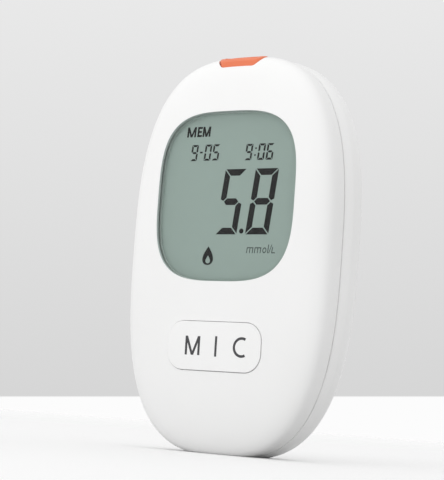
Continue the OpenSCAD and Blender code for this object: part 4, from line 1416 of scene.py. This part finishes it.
# %% Polymers, rubber, ceramic and glass
black_polymer = moulded("LCP_glass_filled_black", "1E1E1F", "262627", 0.5, 0.25, 0.02, flow_mm=0.6)
chip_mould = moulded("epoxy_mould_compound_black", "1B1B1C", "222223", 0.6, 0.12, 0.015,
                     flow_mm=0.4)
buzzer_case = moulded("PBT_moulded_black", "242424", "2C2C2B", 0.45, 0.3, 0.015, flow_mm=2.0)
bracket_abs = moulded("ABS_matt_moulded_white", "ECECEA", "E4E4E1", 0.55, 0.4, 0.015)
ceramic = moulded("ceramic_chip_fired_tan", "BBA27C", "A98F68", 0.6, 0.15, 0.02, flow_mm=0.8)
silicone = moulded("silicone_translucent_grey", "C9CACB", "BDBEC0", 0.6, 0.5, 0.02, ior=1.41)
carbon_pill = moulded("silicone_carbon_filled", "202021", "2A2A2B", 0.75, 0.15, 0.02, ior=1.41)
# painted light: the window's tape is grey-green like the display ground, so the edge seen through
# the window is less dark
foam_painted_light = moulded("foam_tape_grey_green_painted_light", "9AA6A2", "A8B3AF", 0.9, 0.2, 0.08, flow_mm=0.5)
reflector = metal("reflector_film_brushed", "C6CBC9", 0.4, 0.2, (0.1, 1.0, 1.0), 0.004)
sleeve_print = moulded("PVC_shrink_sleeve_printed", "3E5C7A", "466686", 0.28, 1.2, 0.01,
                       flow_mm=8.0)

display_glass, tree, place = new_material("soda_lime_glass_polished")
ripple = add(tree, "ShaderNodeTexNoise", {"Vector": place, "Scale": per_mm(9.0)})
bump = add(tree, "ShaderNodeBump", {
    "Height": ripple.outputs["Fac"], "Strength": 0.1, "Distance": 0.002 * MM})
shader = add(tree, "ShaderNodeBsdfPrincipled", {
    "Base Color": colour("F2F8F5"), "Roughness": 0.01, "IOR": 1.52, "Transmission Weight": 1.0,
    "Normal": bump.outputs["Normal"]})
to_output(tree, shader.outputs["BSDF"])

# %% Zebra strip
# Its real layers are a tenth of a millimetre thick and are drawn about 2 mm apart,
# so that they show. The cloth's weave below is 0.5 mm and is drawn 3 mm wide.
WAVE_TURN = 20  # radians per unit at scale 1, so bands lie 2 pi times the size apart
zebra, tree, place = new_material("zebra_rubber_layered")
layers = add(tree, "ShaderNodeTexWave", {
    "Vector": place, "Scale": per_mm(0.36) / WAVE_TURN, "Distortion": 0.2}, bands_direction="X")
ramp = add(tree, "ShaderNodeValToRGB", {"Fac": layers.outputs["Fac"]})
for stop, position, code in zip(ramp.color_ramp.elements, (0.45, 0.55), ("1C1C1D", "C8C4BC")):
    stop.position, stop.color = position, colour(code)
shader = add(tree, "ShaderNodeBsdfPrincipled", {
    "Base Color": ramp.outputs["Color"], "Roughness": 0.7, "IOR": 1.41})
to_output(tree, shader.outputs["BSDF"])

# %% Solder mask, with the weave of the cloth and the copper's edges below it
solder_mask, tree, place = new_material("solder_mask_on_glass_cloth")
warp, weft = (add(tree, "ShaderNodeTexWave", {
    "Vector": place, "Scale": per_mm(0.5) / WAVE_TURN, "Distortion": 0.6},
    bands_direction=axis).outputs["Fac"] for axis in "XZ")
weave = add(tree, "ShaderNodeMath", {0: warp, 1: weft}, operation="MULTIPLY")
copper = add(tree, "ShaderNodeTexVoronoi", {
    "Vector": place, "Scale": per_mm(3.0)}, distance="MANHATTAN")
edge_of = add(tree, "ShaderNodeMath", {
    0: copper.outputs["Distance"], 1: 0.42}, operation="GREATER_THAN")
tint = add(tree, "ShaderNodeMix", {
    "Factor": edge_of.outputs["Value"], "A": colour("1F6B45"), "B": colour("2C8055")},
    data_type="RGBA")
bump = add(tree, "ShaderNodeBump", {
    "Height": weave.outputs["Value"], "Strength": 0.3, "Distance": 0.02 * MM})
shader = add(tree, "ShaderNodeBsdfPrincipled", {
    "Base Color": tint.outputs["Result"], "Roughness": 0.35, "IOR": 1.5,
    "Normal": bump.outputs["Normal"]})
to_output(tree, shader.outputs["BSDF"])

# %% Dress every piece
finishes = {
    front_shell: white_abs, rear_shell: white_abs, battery_door: white_abs, rocker_key: key_abs,
    strip_port: port_abs, display_marks: segment_dark, unit_marks: segment_faint,
    key_legend: pad_print, border_painted_light: border_painted_light_tint, **dict.fromkeys(cells[::2], nickel_steel),
    **dict.fromkeys(cells[1::2], sleeve_print),
}
by_node = {
    "display_window": acrylic, "window_adhesive": foam_painted_light, "lcd_polariser": film,
    "lcd_front_glass": display_glass, "lcd_rear_glass": display_glass, "lcd_reflector": reflector,
    "lcd_bracket": bracket_abs, "zebra_strip_upper": zebra, "zebra_strip_lower": zebra,
    "main_board": solder_mask, "board_screws": zinc_steel, "microcontroller": chip_mould,
    "memory_chip": chip_mould, "sensor_amplifier": chip_mould, "clock_crystal": nickel_steel,
    "buzzer": buzzer_case, "board_passives": ceramic, "strip_connector": black_polymer,
    "strip_contacts": gold_plate, "key_mat": silicone, "contact_pills": carbon_pill,
    "battery_springs": spring_steel, "link_plate": nickel_steel, "terminal_plates": nickel_steel,
    "case_screws": zinc_steel,
}
for piece, finish in finishes.items():
    piece.data.materials.clear()
    piece.data.materials.append(finish)
front_shell.data.materials.append(recess_wall_painted_shade)  # painted shade: the recess wall is grey-green instead of white, like the shaded band at the display's edge
middles = np.array([tuple(p.center) for p in front_shell.data.polygons]) / MM
wall_painted_shade_faces = inside(middles[:, [0, 2]], window_outline(0.4 * WINDOW_EDGE))
wall_painted_shade_faces &= middles[:, 1] < LEDGE_Y + 0.1
front_shell.data.polygons.foreach_set("material_index", wall_painted_shade_faces.astype(int))
for name, finish in by_node.items():
    for surface in nodes[name].material_slots:
        surface.material = finish
print(len(finishes), "pieces and", len(by_node), "nodes dressed")

# %% [markdown]
# ## Backdrop and floor
# Product shots of white things use a pale sweep. The backdrop is the world, as
# the camera sees it: grey above a level edge and white below. The floor is a
# real surface that catches the contact shadow, and fades out before its rim.

# %% Paint the world
def seen_rays(tree):
    """1 for the rays that show the backdrop itself: straight, mirrored or through glass."""
    path = add(tree, "ShaderNodeLightPath").outputs
    either = add(tree, "ShaderNodeMath", {
        0: path["Is Camera Ray"], 1: path["Is Glossy Ray"]}, operation="MAXIMUM")
    return add(tree, "ShaderNodeMath", {
        0: either.outputs["Value"], 1: path["Is Transmission Ray"]},
        operation="MAXIMUM").outputs["Value"]


world = bpy.data.worlds.new("studio")
bpy.context.scene.world = world
world.use_nodes = True
tree = world.node_tree
tree.nodes.clear()
toward = add(tree, "ShaderNodeTexCoord").outputs["Generated"]
EDGE_DROP = 0.0988  # tangent of the angle from the view's middle down to the backdrop's edge
EDGE_BLUR = 0.0004
AMBIENT = 0.955  # what the world gives the object, where 1 is white paper
edge_normal = UP - EDGE_DROP * BACK
over_edge = add(tree, "ShaderNodeVectorMath", {
    0: toward, 1: edge_normal}, operation="DOT_PRODUCT").outputs["Value"]
height = add(tree, "ShaderNodeMapRange", {"Value": over_edge, "From Min": 0.0, "From Max": 0.25})
grey = add(tree, "ShaderNodeMix", {
    "Factor": height.outputs["Result"], "A": colour("D6D6D6"), "B": colour("E9E9E9")},
    data_type="RGBA")
crossing = add(tree, "ShaderNodeMapRange", {
    "Value": over_edge, "From Min": -EDGE_BLUR, "From Max": EDGE_BLUR})
sweep = add(tree, "ShaderNodeMix", {
    "Factor": crossing.outputs["Result"], "A": colour("FCFCFC"), "B": grey.outputs["Result"]},
    data_type="RGBA")
seen = add(tree, "ShaderNodeBackground", {"Color": sweep.outputs["Result"], "Strength": 1.0})
fill = add(tree, "ShaderNodeBackground", {"Color": (1, 1, 1, 1), "Strength": AMBIENT})
mix = add(tree, "ShaderNodeMixShader", {
    0: seen_rays(tree), 1: fill.outputs["Background"], 2: seen.outputs["Background"]})
add(tree, "ShaderNodeOutputWorld", {"Surface": mix.outputs["Shader"]})

# %% Lay the floor
rings = [at_z(radius * circle_of(96), 0) for radius in (60, 120, 250, 500, 850)]
ground = Body()
ground.band(*rings)
ground.lid(rings[0])
floor = ground.build("floor")
paper, tree, place = new_material("paper_sweep_white")
reach = add(tree, "ShaderNodeVectorMath", {0: place}, operation="LENGTH")
fade = add(tree, "ShaderNodeMapRange", {
    "Value": reach.outputs["Value"], "From Min": 0.3, "From Max": 0.75})
tooth = add(tree, "ShaderNodeTexNoise", {"Vector": place, "Scale": per_mm(0.5)})
bump = add(tree, "ShaderNodeBump", {
    "Height": tooth.outputs["Fac"], "Strength": 0.1, "Distance": 0.02 * MM})
shade = add(tree, "ShaderNodeMix", {
    "Factor": seen_rays(tree), "A": colour("C0C0C0"), "B": colour("FAFAFA")}, data_type="RGBA")
sheet = add(tree, "ShaderNodeBsdfPrincipled", {
    "Base Color": shade.outputs["Result"], "Roughness": 0.8, "Specular IOR Level": 0.2,
    "Normal": bump.outputs["Normal"]})
gone = add(tree, "ShaderNodeBsdfTransparent")
mix = add(tree, "ShaderNodeMixShader", {
    0: fade.outputs["Result"], 1: sheet.outputs["BSDF"], 2: gone.outputs["BSDF"]})
to_output(tree, mix.outputs["Shader"])
floor.data.materials.append(paper)

# %% [markdown]
# ## Light
# One large softbox stands in front, a little to the left and hardly higher than
# the meter. Its size makes the highlights broad and the shadows soft. The even
# ambient light of the world does the rest, so the right side and the chin fall
# off gently. The softbox is left out of mirrored rays, which is what a
# polarising filter on the lens does, so its image doesn't veil the display.


# %% Hang the softbox
def softbox(name, direction, distance, size, power):
    """A round softbox that faces the casing's middle. distance and size are in metres."""
    data = bpy.data.lights.new(name, "AREA")
    data.shape, data.size, data.energy = "DISK", size, power
    lamp = bpy.data.objects.new(name, data)
    middle = Vector((0, 0, WAIST)) * MM
    lamp.location = middle + Vector(direction).normalized() * distance
    lamp.rotation_mode = "QUATERNION"
    lamp.rotation_quaternion = Vector(direction).to_track_quat("Z", "Y")
    lamp.visible_glossy = lamp.visible_transmission = False
    bpy.context.scene.collection.objects.link(lamp)
    return lamp


key_light = softbox("softbox_front", (-0.15, -0.96, 0.1), distance=1.0, size=0.6, power=2.8)
bpy.context.scene.view_settings.view_transform = "Standard"
print("lamps:", key_light.name, round(key_light.data.energy, 2), "W")
